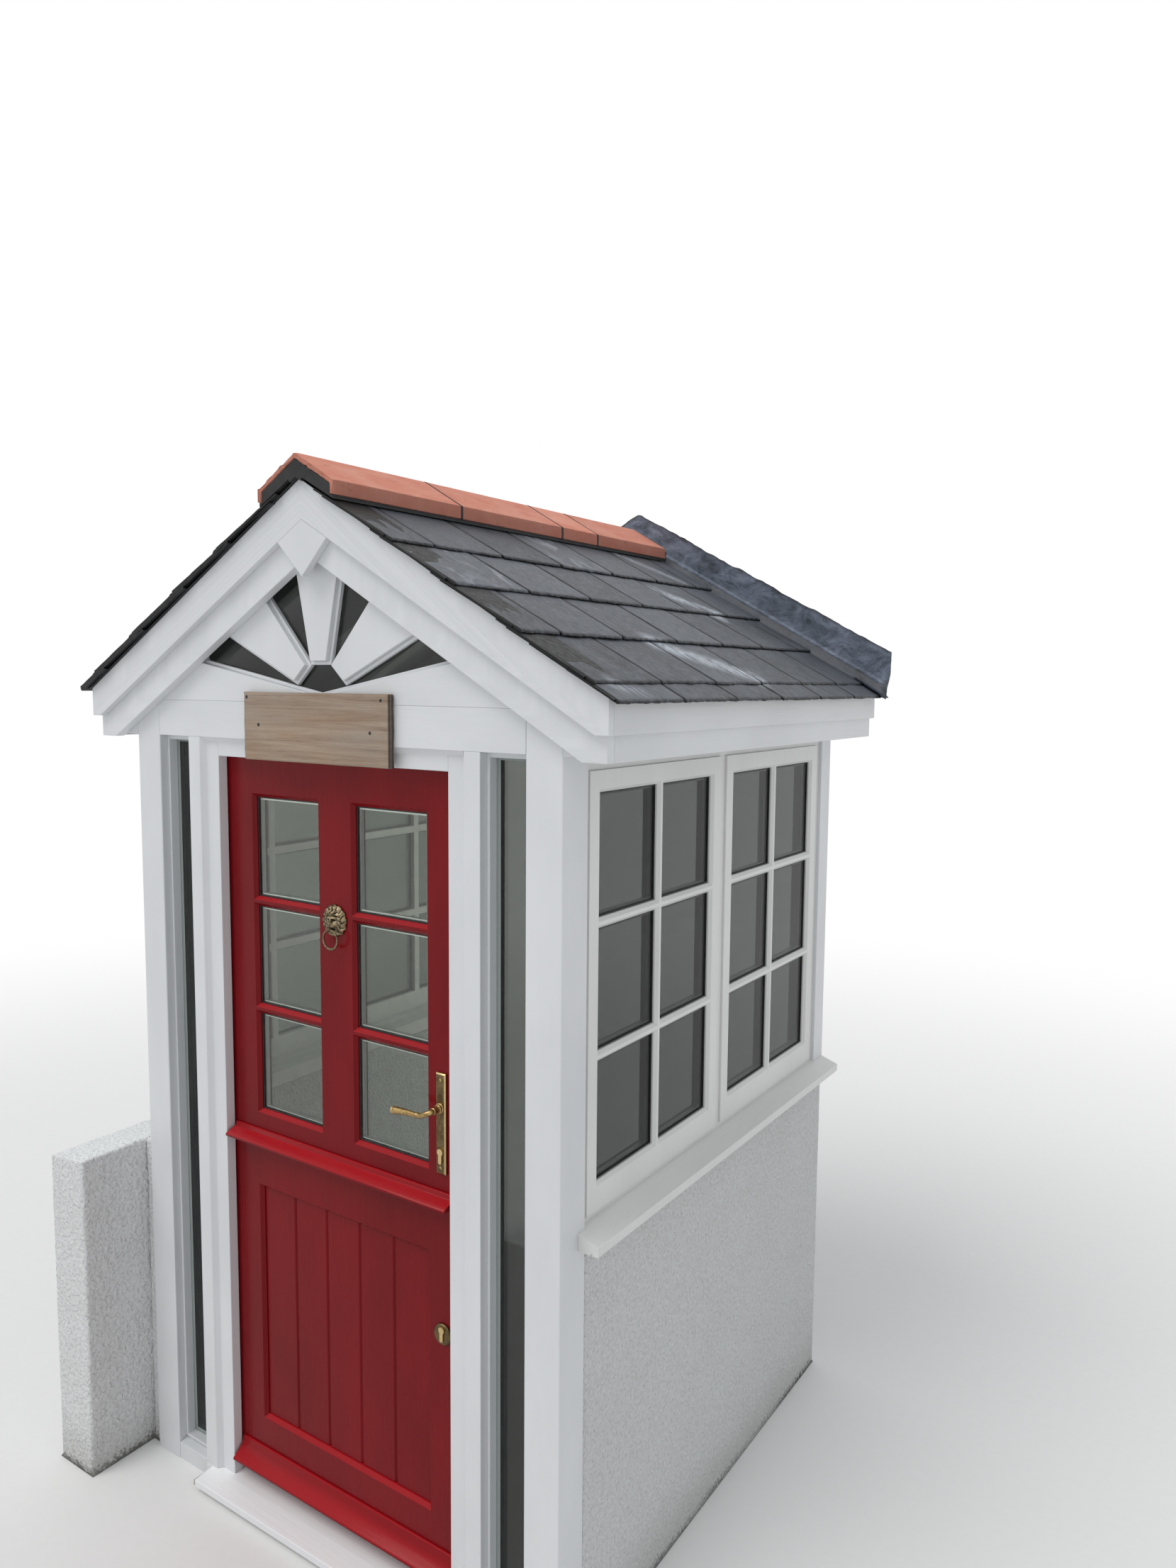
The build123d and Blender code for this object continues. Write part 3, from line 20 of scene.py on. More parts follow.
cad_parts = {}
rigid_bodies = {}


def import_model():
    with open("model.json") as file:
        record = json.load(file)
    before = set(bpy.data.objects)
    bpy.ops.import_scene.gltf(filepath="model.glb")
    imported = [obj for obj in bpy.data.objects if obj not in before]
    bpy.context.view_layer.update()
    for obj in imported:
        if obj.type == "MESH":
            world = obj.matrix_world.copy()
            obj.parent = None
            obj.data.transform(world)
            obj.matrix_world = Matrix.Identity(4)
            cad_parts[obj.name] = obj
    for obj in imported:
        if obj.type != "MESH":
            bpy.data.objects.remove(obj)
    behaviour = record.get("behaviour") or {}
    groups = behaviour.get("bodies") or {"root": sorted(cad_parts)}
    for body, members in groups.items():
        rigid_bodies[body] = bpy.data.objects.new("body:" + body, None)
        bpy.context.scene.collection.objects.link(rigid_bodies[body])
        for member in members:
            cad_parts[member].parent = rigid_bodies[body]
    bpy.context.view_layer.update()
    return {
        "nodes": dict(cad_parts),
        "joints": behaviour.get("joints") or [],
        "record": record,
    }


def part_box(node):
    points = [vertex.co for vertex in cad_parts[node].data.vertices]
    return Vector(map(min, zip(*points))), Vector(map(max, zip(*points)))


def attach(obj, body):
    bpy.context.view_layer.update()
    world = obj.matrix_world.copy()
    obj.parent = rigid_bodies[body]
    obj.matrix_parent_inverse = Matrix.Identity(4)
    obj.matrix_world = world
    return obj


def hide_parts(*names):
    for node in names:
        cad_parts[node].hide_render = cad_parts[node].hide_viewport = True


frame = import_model()

LOG = logging.getLogger("porch")
PORCH = "porch"
PITCH = math.radians(30.0)  # of both roof slopes
COS, SIN, SLOPE = math.cos(PITCH), math.sin(PITCH), math.tan(PITCH)
Colour = tuple[float, float, float]
Profile = tuple[tuple[float, float], ...]
SIDE_SHIFT = 7.0  # metres of pattern between the two slopes
FINE_SHIFT = 20.0  # most metres of pattern between two solids
SAME_PLACE = 0.00002  # corners this close are one
FLAT = 0.5  # faces that turn less than this many degrees are one


class Grain(Enum):
    """Which way the fibres or the brush marks run on a piece."""

    UPRIGHT = "upright"
    ACROSS = "across"
    INWARD = "inward"
    SLOPE = "down the roof slope"
    LONGEST = "along the longest side"


class Axis(Enum):
    """The thin direction of a pane."""

    X = 0
    Y = 1


# Relief that comes out the same each run
def lumps(points: np.ndarray, size: float, seed: int) -> np.ndarray:
    """Smooth random relief with lumps of about one size.

    Args:
        points: places, one row each, in metres.
        size: width of a lump.
        seed: picks the pattern.

    Returns:
        One value from -1 to 1 for each place.
    """
    scaled = points / size
    cell = np.floor(scaled).astype(np.int64)
    part = scaled - cell
    part = part * part * (3 - 2 * part)
    total = np.zeros(len(points))
    for corner in product((0, 1), repeat=3):
        key = cell + np.array(corner)
        mixed = (key[:, 0] * 73856093) ^ (key[:, 1] * 19349663) ^ (key[:, 2] * 83492791) ^ (seed * 951631)
        mixed = ((mixed ^ (mixed >> 13)) * 60493) & 0x7FFFFFFF
        value = ((mixed ^ (mixed >> 11)) & 0xFFFF) / 32767.5 - 1
        weight = np.prod(np.where(np.array(corner) == 1, part, 1 - part), axis=1)
        total += value * weight
    return total


def hills(points: np.ndarray, size: float, seed: int) -> np.ndarray:
    """The relief of lumps, from 0 to 1."""
    return 0.5 + 0.5 * lumps(points, size, seed)


def down_slope(points: np.ndarray) -> np.ndarray:
    """How far each place lies down the roof slope, up to a constant."""
    return np.abs(points[:, 0]) * COS - points[:, 2] * SIN


# Node trees and finishes
class Nodes:
    """A node tree, built by short calls."""

    def __init__(self, tree: bpy.types.NodeTree) -> None:
        """Take hold of a tree."""
        self.tree = tree

    def node(self, kind: str, inputs: dict | None = None, **settings: object) -> bpy.types.Node:
        """Add a node.

        Args:
            kind: the node's type name.
            inputs: values or sockets, by the input's name or number.
            settings: the node's own properties.

        Returns:
            The new node.
        """
        made = self.tree.nodes.new(kind)
        for key, value in settings.items():
            setattr(made, key, value)
        for key, value in (inputs or {}).items():
            if isinstance(value, bpy.types.NodeSocket):
                self.tree.links.new(value, made.inputs[key])
            else:
                made.inputs[key].default_value = value
        return made

    def sum(self, operation: str, first: object, second: object = 0.0) -> bpy.types.NodeSocket:
        """Result of one arithmetic step on two values."""
        return self.node("ShaderNodeMath", {0: first, 1: second}, operation=operation).outputs[0]

    def add(self, first: object, second: object) -> bpy.types.NodeSocket:
        """The two values together."""
        return self.sum("ADD", first, second)

    def less(self, first: object, second: object) -> bpy.types.NodeSocket:
        """The first value less the second."""
        return self.sum("SUBTRACT", first, second)

    def times(self, first: object, second: object) -> bpy.types.NodeSocket:
        """The first value times the second."""
        return self.sum("MULTIPLY", first, second)


class Shader(Nodes):
    """A material's node tree, with short calls for the nodes that the finishes need."""

    def __init__(self, name: str) -> None:
        """Start a material with one Principled surface."""
        self.material = bpy.data.materials.new(name)
        self.material.use_nodes = True
        super().__init__(self.material.node_tree)
        self.surface = self.tree.nodes["Principled BSDF"]

    def mark(self, name: str) -> bpy.types.NodeSocket:
        """A value that the piece's own mesh carries, such as each solid's random tone."""
        return self.node("ShaderNodeAttribute", attribute_name=name).outputs["Fac"]

    def noise(self, scale: float | Sequence[float], detail: float, roughness: float, distortion: float = 0.0,
              own: bool = True) -> bpy.types.NodeSocket:
        """Noise value, from about 0 to 1.

        Args:
            scale: repeats per metre, the same every way or along, across and through the piece.
            detail: how many finer layers.
            roughness: how strong those layers are.
            distortion: how far the pattern is stirred.
            own: True follows the piece's own grain, False its Object coordinates.

        Returns:
            A value socket.
        """
        if own:
            source = self.node("ShaderNodeAttribute", attribute_name="grain").outputs["Vector"]
        else:
            source = self.node("ShaderNodeTexCoord").outputs["Object"]
        scales = tuple(scale) if isinstance(scale, Sequence) else (scale,) * 3
        vector = self.node("ShaderNodeMapping", {"Vector": source, "Scale": scales}).outputs["Vector"]
        inputs = {"Vector": vector, "Scale": 1.0, "Detail": detail, "Roughness": roughness,
                  "Distortion": distortion}
        return self.node("ShaderNodeTexNoise", inputs).outputs["Fac"]

    def upward(self, vector: bpy.types.NodeSocket) -> bpy.types.NodeSocket:
        """The Z of a vector."""
        return self.node("ShaderNodeSeparateXYZ", {0: vector}).outputs["Z"]

    def span(self, value: bpy.types.NodeSocket, start: float, end: float, low: float = 0.0,
             high: float = 1.0) -> bpy.types.NodeSocket:
        """Stretch the range start to end of a value to low to high, held at both ends."""
        inputs = {"Value": value, "From Min": start, "From Max": end, "To Min": low, "To Max": high}
        return self.node("ShaderNodeMapRange", inputs).outputs["Result"]

    def blend(self, amount: object, low: object, high: object, mode: str = "MIX") -> bpy.types.NodeSocket:
        """Mix two colours.

        Args:
            amount: 0 to 1, as a value or a socket.
            low: the colour, or socket, at 0.
            high: the colour, or socket, at 1.
            mode: how they mix.

        Returns:
            A colour socket.
        """
        colours = [(*c, 1.0) if isinstance(c, tuple) else c for c in (low, high)]
        inputs = {0: amount, 6: colours[0], 7: colours[1]}
        return self.node("ShaderNodeMix", inputs, data_type="RGBA", blend_type=mode).outputs[2]

    def layer(self, under: object, over: object, value: bpy.types.NodeSocket, start: float, end: float,
              most: float = 1.0) -> bpy.types.NodeSocket:
        """Lay one colour over another.

        Args:
            under: the colour below.
            over: the colour that is laid on it.
            value: decides where it is laid.
            start: the value with nothing laid.
            end: the value with the most laid.
            most: how much that is.

        Returns:
            A colour socket.
        """
        return self.blend(self.span(value, start, end, 0.0, most), under, over)

    def relief(self, height: bpy.types.NodeSocket, distance: float,
               below: bpy.types.NodeSocket | None = None) -> bpy.types.NodeSocket:
        """Surface relief.

        Args:
            height: the height, from 0 to 1.
            distance: the height's real size in metres.
            below: a coarser relief that this one lies on.

        Returns:
            A normal socket.
        """
        inputs = {"Height": height, "Distance": distance, "Strength": 1.0}
        if below is not None:
            inputs["Normal"] = below
        return self.node("ShaderNodeBump", inputs).outputs["Normal"]

    def set(self, **values: object) -> None:
        """Set or link inputs of the surface; an underscore in a name stands for a space."""
        for key, value in values.items():
            socket = self.surface.inputs[key.replace("_", " ")]
            if isinstance(value, bpy.types.NodeSocket):
                self.tree.links.new(value, socket)
            else:
                socket.default_value = (*value, 1.0) if isinstance(value, tuple) else value


@dataclass(frozen=True)
class Finish:
    """A named finish that makes its material once."""

    name: str
    slot: str

    def material(self) -> bpy.types.Material:
        """The finish's material, made on first use."""
        found = bpy.data.materials.get(self.name)
        if found is None:
            shader = Shader(self.name)
            self.mix(shader)
            found = shader.material
        return found

    def mix(self, shader: Shader) -> None:
        """Fill the material's node tree."""
        raise NotImplementedError


@dataclass(frozen=True)
class BrushedPaint(Finish):
    """Satin gloss on wood, with faint brush marks along the grain."""

    colour: Colour = (0.70, 0.715, 0.735)
    shade: Colour = (0.64, 0.655, 0.675)
    gloss_low: float = 0.30
    gloss_high: float = 0.44
    mark: float = 0.00026
    own: bool = True
    sheen: float = 0.5
    # upper: colour of up-facing faces, a painted highlight of the light from above
    upper: Colour | None = None

    def mix(self, shader: Shader) -> None:
        """Cloudy colour, uneven gloss and long fine marks; up-facing faces may be painted lighter, as a
        painted highlight.
        """
        clouds = shader.noise((2.2, 5.0, 5.0), 4.0, 0.55, own=self.own)
        marks = shader.noise((7.0, 330.0, 330.0), 3.0, 0.6, 0.15, own=self.own)
        fibres = shader.noise((3.0, 75.0, 75.0), 3.0, 0.6, 0.3, own=self.own)
        paint = shader.layer(self.colour, self.shade, clouds, 0.35, 0.68)
        if self.upper:
            # painted highlight: faces that point up take the upper colour
            facing = shader.upward(shader.node("ShaderNodeNewGeometry").outputs["Normal"])
            paint = shader.layer(paint, self.upper, facing, 0.25, 0.95)
        shader.set(Base_Color=paint, Roughness=shader.span(marks, 0.3, 0.7, self.gloss_low, self.gloss_high),
                   Normal=shader.relief(marks, self.mark, shader.relief(fibres, self.mark * 2.4)),
                   Specular_IOR_Level=self.sheen)


@dataclass(frozen=True)
class Oak(Finish):
    """Bare weathered oak with dark grain lines, paler ridges and grey bloom."""

    pale: Colour = (0.38, 0.285, 0.205)
    warm: Colour = (0.26, 0.17, 0.11)
    dark: Colour = (0.065, 0.045, 0.034)
    grey: Colour = (0.33, 0.31, 0.28)
    sawn: Colour = (0.03, 0.026, 0.023)

    def mix(self, shader: Shader) -> None:
        """Grain rings bent by noise, broad grey clouds, dark pores and darker sawn ends."""
        rings = shader.noise((2.0, 60.0, 30.0), 5.0, 0.62, 0.9)
        pores = shader.noise((22.0, 900.0, 500.0), 2.0, 0.6)
        clouds = shader.noise((3.0, 9.0, 9.0), 3.0, 0.5, 0.6)
        wood = shader.layer(self.warm, self.pale, rings, 0.36, 0.62)
        wood = shader.layer(wood, self.grey, clouds, 0.4, 0.75, 0.45)
        wood = shader.layer(wood, self.dark, rings, 0.36, 0.27, 0.75)
        wood = shader.layer(wood, self.dark, pores, 0.40, 0.26, 0.6)
        cut = shader.times(shader.mark("rim"), shader.span(clouds, 0.2, 0.6, 1.0, 0.86))
        wood = shader.blend(cut, wood, self.sawn)
        shader.set(Base_Color=wood, Roughness=0.82,
                   Normal=shader.relief(pores, 0.0003, shader.relief(rings, 0.0012)))


@dataclass(frozen=True)
class PaintedRender(Finish):
    """White masonry paint on sand render."""

    # the default colour is darker than the wing wall's, though the paint is the same: painted shade on the
    # dwarf walls
    colour: Colour = (0.60, 0.61, 0.615)
    stain: Colour = (0.44, 0.43, 0.40)
    grit: float = 0.0016
    peel: float = 120.0
    # how strongly the lumps of the render get painted shade in their hollows and painted highlight on their
    # crests
    painted_lump_light: float = 0.34
    foot_stain: float = 0.35
    # painted shade in the hollows of the lumps, painted highlight on their crests, and a lighter colour on
    # up-facing faces as painted light from above
    painted_pit_shade: Colour = (0.33, 0.33, 0.32)
    painted_crest_highlight: Colour = (0.82, 0.83, 0.835)
    upper: Colour = (0.84, 0.86, 0.87)
    algae: Colour = (0.20, 0.20, 0.15)
    soil: Colour = (0.045, 0.042, 0.032)

    def mix(self, shader: Shader) -> None:
        """Grit, faint clouds, painted shade and highlight on the lumps, up-facing faces painted lighter as
        lit from above, and a stain that grows towards a soiled foot.
        """
        grit = shader.noise(240.0, 3.0, 0.6, own=False)
        peel = shader.noise(self.peel, 2.0, 0.5, 0.4, own=False)
        clouds = shader.noise((3.5, 3.5, 6.0), 5.0, 0.6, own=False)
        height = shader.upward(shader.node("ShaderNodeTexCoord").outputs["Object"])
        low = shader.span(shader.add(height, shader.span(clouds, 0.3, 0.7, -0.06, 0.06)), 0.16, 0.0)
        paint = shader.layer(self.colour, self.stain, clouds, 0.42, 0.75, 0.16)
        paint = shader.layer(paint, self.painted_pit_shade, peel, 0.47, 0.30, self.painted_lump_light)
        paint = shader.layer(paint, self.painted_crest_highlight, peel, 0.55, 0.70, self.painted_lump_light)
        # painted light: faces that point up are lighter
        facing = shader.upward(shader.node("ShaderNodeNewGeometry").outputs["Normal"])
        paint = shader.layer(paint, self.upper, facing, 0.70, 0.92)
        stain = shader.times(low, shader.span(grit, 0.35, 0.65, 0.15, self.foot_stain))
        paint = shader.blend(stain, paint, self.algae)
        wavy = shader.add(height, shader.span(peel, 0.3, 0.7, -0.012, 0.012))
        splash = shader.times(shader.span(wavy, 0.024, 0.006), shader.span(clouds, 0.35, 0.6, 0.3, 0.9))
        paint = shader.blend(splash, paint, self.soil)
        shader.set(Base_Color=paint, Roughness=0.86,
                   Normal=shader.relief(grit, self.grit * 0.4, shader.relief(peel, self.grit * 4.5)))


@dataclass(frozen=True)
class Concrete(Finish):
    """Floated concrete of the floor."""

    colour: Colour = (0.30, 0.29, 0.27)
    pale: Colour = (0.42, 0.41, 0.385)

    def mix(self, shader: Shader) -> None:
        """Cement clouds with fine pits."""
        clouds = shader.noise(5.0, 6.0, 0.6, 0.4, own=False)
        pits = shader.noise(220.0, 2.0, 0.5, own=False)
        shader.set(Base_Color=shader.layer(self.colour, self.pale, clouds, 0.36, 0.66),
                   Roughness=shader.span(clouds, 0.3, 0.7, 0.6, 0.85), Normal=shader.relief(pits, 0.0005))


@dataclass(frozen=True)
class Slate(Finish):
    """Riven blue-grey slate with a few pale weathered streaks and smears of lime."""

    dark: Colour = (0.036, 0.041, 0.049)
    blue: Colour = (0.082, 0.092, 0.109)
    bloom: Colour = (0.50, 0.545, 0.61)
    # edge: the near-black of the painted shade along each slate's lower edge and sides
    edge: Colour = (0.0065, 0.007, 0.008)
    light: Colour = (0.140, 0.153, 0.178)

    def mix(self, shader: Shader) -> None:
        """Each slate's own tone, riven relief, bloom on a few of them, and painted shade darkening the lower
        edges and sides.
        """
        riven = shader.noise((11.0, 16.0, 16.0), 6.0, 0.62, 0.7)
        flakes = shader.noise((60.0, 95.0, 95.0), 4.0, 0.6, 0.4)
        patches = shader.noise((7.5, 12.0, 12.0), 4.0, 0.62, 1.1)
        tone = shader.mark("tone")
        stone = shader.layer(self.dark, self.blue, riven, 0.32, 0.7)
        stone = shader.layer(stone, self.light, tone, 0.0, 1.0, 0.55)
        chosen = shader.span(tone, 0.88, 0.92, 0.0, 0.6)
        bloom = shader.times(chosen, shader.span(patches, 0.50, 0.64, 0.0, 0.9))
        streaks = shader.span(shader.noise((9.0, 22.0, 34.0), 5.0, 0.65, 1.6), 0.38, 0.50)
        bloom = shader.sum("MAXIMUM", bloom, shader.times(shader.mark("bloom"), streaks))
        bloom = shader.times(bloom, shader.span(flakes, 0.34, 0.60, 0.35, 1.0))
        stone = shader.blend(bloom, stone, self.bloom)
        # painted shade: the marked edges and the verge turn near-black
        rough = shader.times(shader.mark("rim"), shader.span(flakes, 0.30, 0.50, 0.8, 1.0))
        shader.set(Base_Color=shader.blend(rough, stone, self.edge),
                   Roughness=shader.span(flakes, 0.3, 0.7, 0.38, 0.60), Specular_IOR_Level=0.28,
                   Normal=shader.relief(flakes, 0.0007, shader.relief(riven, 0.0022)))


@dataclass(frozen=True)
class Terracotta(Finish):
    """Salmon-red clay with sandy grain and darker scuffs."""

    colour: Colour = (0.66, 0.225, 0.145)
    dusty: Colour = (0.74, 0.33, 0.24)
    scuff: Colour = (0.27, 0.085, 0.06)
    # lip: darker colour of the outer lips, as painted shade
    lip: Colour = (0.235, 0.085, 0.062)
    grain: Colour = (0.72, 0.40, 0.30)

    def mix(self, shader: Shader) -> None:
        """Dusty clouds, brown scuffs, fine pale sand, and combed lips darkened as painted shade."""
        clouds = shader.noise((7.0, 14.0, 14.0), 5.0, 0.6, 0.5)
        sand = shader.noise(600.0, 2.0, 0.6)
        marks = shader.noise((18.0, 60.0, 60.0), 5.0, 0.68, 0.9)
        clay = shader.layer(self.colour, self.dusty, clouds, 0.36, 0.66)
        clay = shader.layer(clay, self.scuff, shader.mark("tone"), 0.0, 1.0, 0.22)
        clay = shader.layer(clay, self.scuff, marks, 0.40, 0.27, 0.7)
        clay = shader.layer(clay, self.grain, sand, 0.58, 0.72, 0.3)
        combed = shader.noise((420.0, 9.0, 9.0), 3.0, 0.6)
        # the marked lips, darkened as painted shade, and the broken end, with combed streaks
        lip = shader.times(shader.mark("rim"), shader.span(combed, 0.3, 0.62, 1.0, 0.8))
        clay = shader.blend(lip, clay, self.lip)
        shader.set(Base_Color=clay, Roughness=0.80,
                   Normal=shader.relief(sand, 0.0003, shader.relief(marks, 0.0007)))


@dataclass(frozen=True)
class Mortar(Finish):
    """Dark smooth-pointed mortar."""

    colour: Colour = (0.0095, 0.0098, 0.0115)
    pale: Colour = (0.02, 0.02, 0.021)

    def mix(self, shader: Shader) -> None:
        """Sandy relief on a near-black ground."""
        sand = shader.noise(380.0, 3.0, 0.6, own=False)
        clouds = shader.noise(25.0, 3.0, 0.5, own=False)
        shader.set(Base_Color=shader.layer(self.colour, self.pale, clouds, 0.35, 0.7),
                   Roughness=0.72, Normal=shader.relief(sand, 0.0005, shader.relief(clouds, 0.002)))


@dataclass(frozen=True)
class Lead(Finish):
    """Dull lead sheet, blue-grey with paler bloom and dark dressing marks."""

    dark: Colour = (0.045, 0.055, 0.075)
    mid: Colour = (0.155, 0.185, 0.245)
    bloom: Colour = (0.28, 0.31, 0.37)
    soiled: Colour = (0.035, 0.034, 0.032)

    def mix(self, shader: Shader) -> None:
        """Mottled patina in two sizes, dark where the mesh is marked."""
        patina = shader.noise((14.0, 22.0, 22.0), 6.0, 0.68, 1.1, own=False)
        spots = shader.noise(120.0, 3.0, 0.6, own=False)
        metal = shader.layer(self.dark, self.mid, patina, 0.34, 0.60)
        metal = shader.layer(metal, self.bloom, patina, 0.58, 0.74, 0.75)
        metal = shader.layer(metal, self.bloom, spots, 0.62, 0.74, 0.4)
        metal = shader.blend(shader.mark("rim"), metal, self.soiled)
        shader.set(Base_Color=metal, Metallic=0.2, Roughness=shader.span(patina, 0.3, 0.7, 0.42, 0.62),
                   Normal=shader.relief(spots, 0.0004, shader.relief(patina, 0.0016)))


@dataclass(frozen=True)
class ClearGlass(Finish):
    """Window glass with the slight waves of real panes; the door's is nearly clear, and the other panes are
    darkened as painted shade of the dim inside.
    """

    # a faint colour in the door's glass; the darker values elsewhere are painted shade
    tint_and_painted_shade: Colour = (0.29, 0.30, 0.295)
    gloss: float = 0.01
    bend: float = 1.22
    dusty: float = 0.93

    def mix(self, shader: Shader) -> None:
        """Transmission with long shallow waves."""
        waves = shader.noise(3.0, 1.0, 0.4, own=False)
        dust = shader.noise(30.0, 5.0, 0.7, own=False)
        dull = tuple(self.dusty * c for c in self.tint_and_painted_shade)
        shader.set(Base_Color=shader.layer(self.tint_and_painted_shade, dull, dust, 0.45, 0.75),
                   Roughness=self.gloss, IOR=self.bend, Transmission_Weight=1.0,
                   Normal=shader.relief(waves, 0.0006))


@dataclass(frozen=True)
class Rubber(Finish):
    """Glazing gasket or tape."""

    colour: Colour = (0.012, 0.012, 0.013)
    dusty: Colour = (0.03, 0.03, 0.03)

    def mix(self, shader: Shader) -> None:
        """Dull, slightly dusty rubber."""
        dust = shader.noise(200.0, 3.0, 0.6, own=False)
        shader.set(Base_Color=shader.layer(self.colour, self.dusty, dust, 0.5, 0.8),
                   Roughness=shader.span(dust, 0.3, 0.7, 0.5, 0.7))


@dataclass(frozen=True)
class BrushedMetal(Finish):
    """Satin metal, drawn along its length."""

    colour: Colour = (0.62, 0.63, 0.64)
    rough: float = 0.36
    metallic: float = 1.0
    line_shade: float = 0.82

    def mix(self, shader: Shader) -> None:
        """Fine drawn lines in the gloss."""
        lines = shader.noise((500.0, 500.0, 30.0), 3.0, 0.6, own=False)
        darker = tuple(self.line_shade * c for c in self.colour)
        gloss = shader.span(lines, 0.3, 0.7, self.rough - 0.06, self.rough + 0.1)
        shader.set(Base_Color=shader.layer(self.colour, darker, lines, 0.3, 0.7), Metallic=self.metallic,
                   Roughness=gloss, Normal=shader.relief(lines, 0.0001))


@dataclass(frozen=True)
class AgedBrass(Finish):
    """Lacquered brass, bright on its ridges and brown in its hollows."""

    bright: Colour = (0.39, 0.28, 0.125)
    aged: Colour = (0.16, 0.105, 0.048)
    hollow: Colour = (0.045, 0.03, 0.016)
    relief_depth: float = 0.0002
    rubbed: Colour = (0.72, 0.55, 0.28)

    def mix(self, shader: Shader) -> None:
        """Noise stains it, pointiness picks ridges and hollows, and marked hollows are darkest."""
        stain = shader.noise(90.0, 5.0, 0.65, 0.6, own=False)
        fine = shader.noise(900.0, 3.0, 0.6, own=False)
        worn = shader.node("ShaderNodeNewGeometry").outputs["Pointiness"]
        metal = shader.layer(self.bright, self.aged, stain, 0.38, 0.66)
        metal = shader.layer(metal, self.hollow, worn, 0.495, 0.44)
        metal = shader.layer(metal, self.rubbed, worn, 0.53, 0.60, 0.8)
        metal = shader.blend(shader.mark("rim"), metal, self.hollow)
        shader.set(Base_Color=metal, Metallic=1.0, Roughness=shader.span(stain, 0.3, 0.7, 0.24, 0.42),
                   Normal=shader.relief(fine, self.relief_depth))


WHITE = BrushedPaint("white_paint_on_timber", "white_paint")
WINDOW_WHITE = BrushedPaint("white_paint_on_windows", "white_paint", (0.71, 0.715, 0.705),
                            (0.66, 0.665, 0.65), 0.26, 0.38, 0.00012)
# red paint; its upper colour is a painted highlight on the up-facing rails, beads and weatherbars
RED = BrushedPaint("red_paint_on_door", "red_paint", (0.20, 0.0045, 0.0075), (0.155, 0.0035, 0.006),
                   0.18, 0.30, 0.00018, sheen=0.14, upper=(0.42, 0.013, 0.019))
# the sill's white paint is lighter than the rest, and lighter again on top: painted light on the sill
SILL_WHITE_WITH_PAINTED_LIGHT = BrushedPaint("white_paint_on_sill_with_painted_light", "white_paint", (0.80, 0.81, 0.82), (0.74, 0.75, 0.765),
                          upper=(0.89, 0.90, 0.91))
INSIDE_WHITE = BrushedPaint("white_paint_under_roof", "white_paint", own=False)
OAK = Oak("weathered_oak", "oak")
# the dwarf walls' render, darkened as painted shade
WALL_RENDER_WITH_PAINTED_SHADE = PaintedRender("render_darkened_as_painted_shade", "render")
WING_RENDER = PaintedRender("coarse_painted_render", "render", (0.71, 0.72, 0.725), grit=0.0024, peel=95.0,
                            painted_lump_light=0.26, foot_stain=0.6)
CONCRETE = Concrete("floated_concrete", "concrete")
SLATE = Slate("riven_slate", "slate")
TERRACOTTA = Terracotta("ridge_clay", "terracotta")
MORTAR = Mortar("dark_mortar", "mortar")
JOINT_MORTAR = Mortar("joint_mortar", "mortar", (0.10, 0.095, 0.096))
LEAD = Lead("weathered_lead", "lead")
# the window, sidelight and gable glass are darkened as painted shade of the dim inside behind them
WINDOW_GLASS = ClearGlass("window_glass_sheet", "glass")
DOOR_GLASS = ClearGlass("door_glass_sheet", "glass", (0.83, 0.865, 0.81), 0.01, 1.35)
SIDE_GLASS = ClearGlass("sidelight_glass_sheet", "glass", (0.34, 0.355, 0.34), 0.01, 1.42)
GABLE_GLASS = ClearGlass("gable_glass_sheet", "glass", (0.27, 0.287, 0.26), 0.01, 1.34)
FELT = Rubber("black_roof_felt", "slate")
GASKET = Rubber("glazing_gasket", "glass")
# pale grey-green tape in the sidelights: a painted reflection of the white frame's inner edge
TAPE_WITH_PAINTED_REFLECTION = Rubber("glazing_tape_with_painted_reflection", "glass", (0.30, 0.335, 0.325), (0.36, 0.39, 0.38))
SPACER = BrushedMetal("spacer_bar", "glass", (0.74, 0.76, 0.77), 0.34)
STEEL = BrushedMetal("hinge_steel_satin", "hinge_steel")
BRASS = AgedBrass("aged_brass", "brass", (0.50, 0.355, 0.15), (0.22, 0.145, 0.06))
# the plates' brass, darker than the levers', as painted shade of the dark surroundings it reflects
PLATE_BRASS_WITH_PAINTED_SHADE = AgedBrass("plate_brass_darkened_as_painted_shade", "brass", (0.19, 0.135, 0.065), (0.085, 0.058, 0.028))
CAST_BRASS = AgedBrass("cast_brass", "brass", (0.40, 0.32, 0.20), (0.13, 0.10, 0.058), (0.012, 0.0095, 0.007),
                       0.0005)


# Meshes
def body_of(node: str) -> str:
    """Name of the body that a solid's node rides on."""
    bodies = frame["record"]["behaviour"]["bodies"]
    return next(body for body, members in bodies.items() if node in members)


def pivot_of(joint: str) -> Vector:
    """Where a joint turns."""
    return Vector(next(entry for entry in frame["joints"] if entry["name"] == joint)["pos_m"])


def merged_copy(node: str) -> bmesh.types.BMesh:
    """Copy a node's mesh, with its corners joined and its flat triangles made whole faces.

    Args:
        node: the node's name.

    Returns:
        A new mesh for editing.
    """
    mesh = bmesh.new()
    mesh.from_mesh(frame["nodes"][node].data)
    bmesh.ops.remove_doubles(mesh, verts=mesh.verts, dist=SAME_PLACE)
    bmesh.ops.dissolve_limit(mesh, angle_limit=math.radians(FLAT), verts=mesh.verts, edges=mesh.edges)
    return mesh


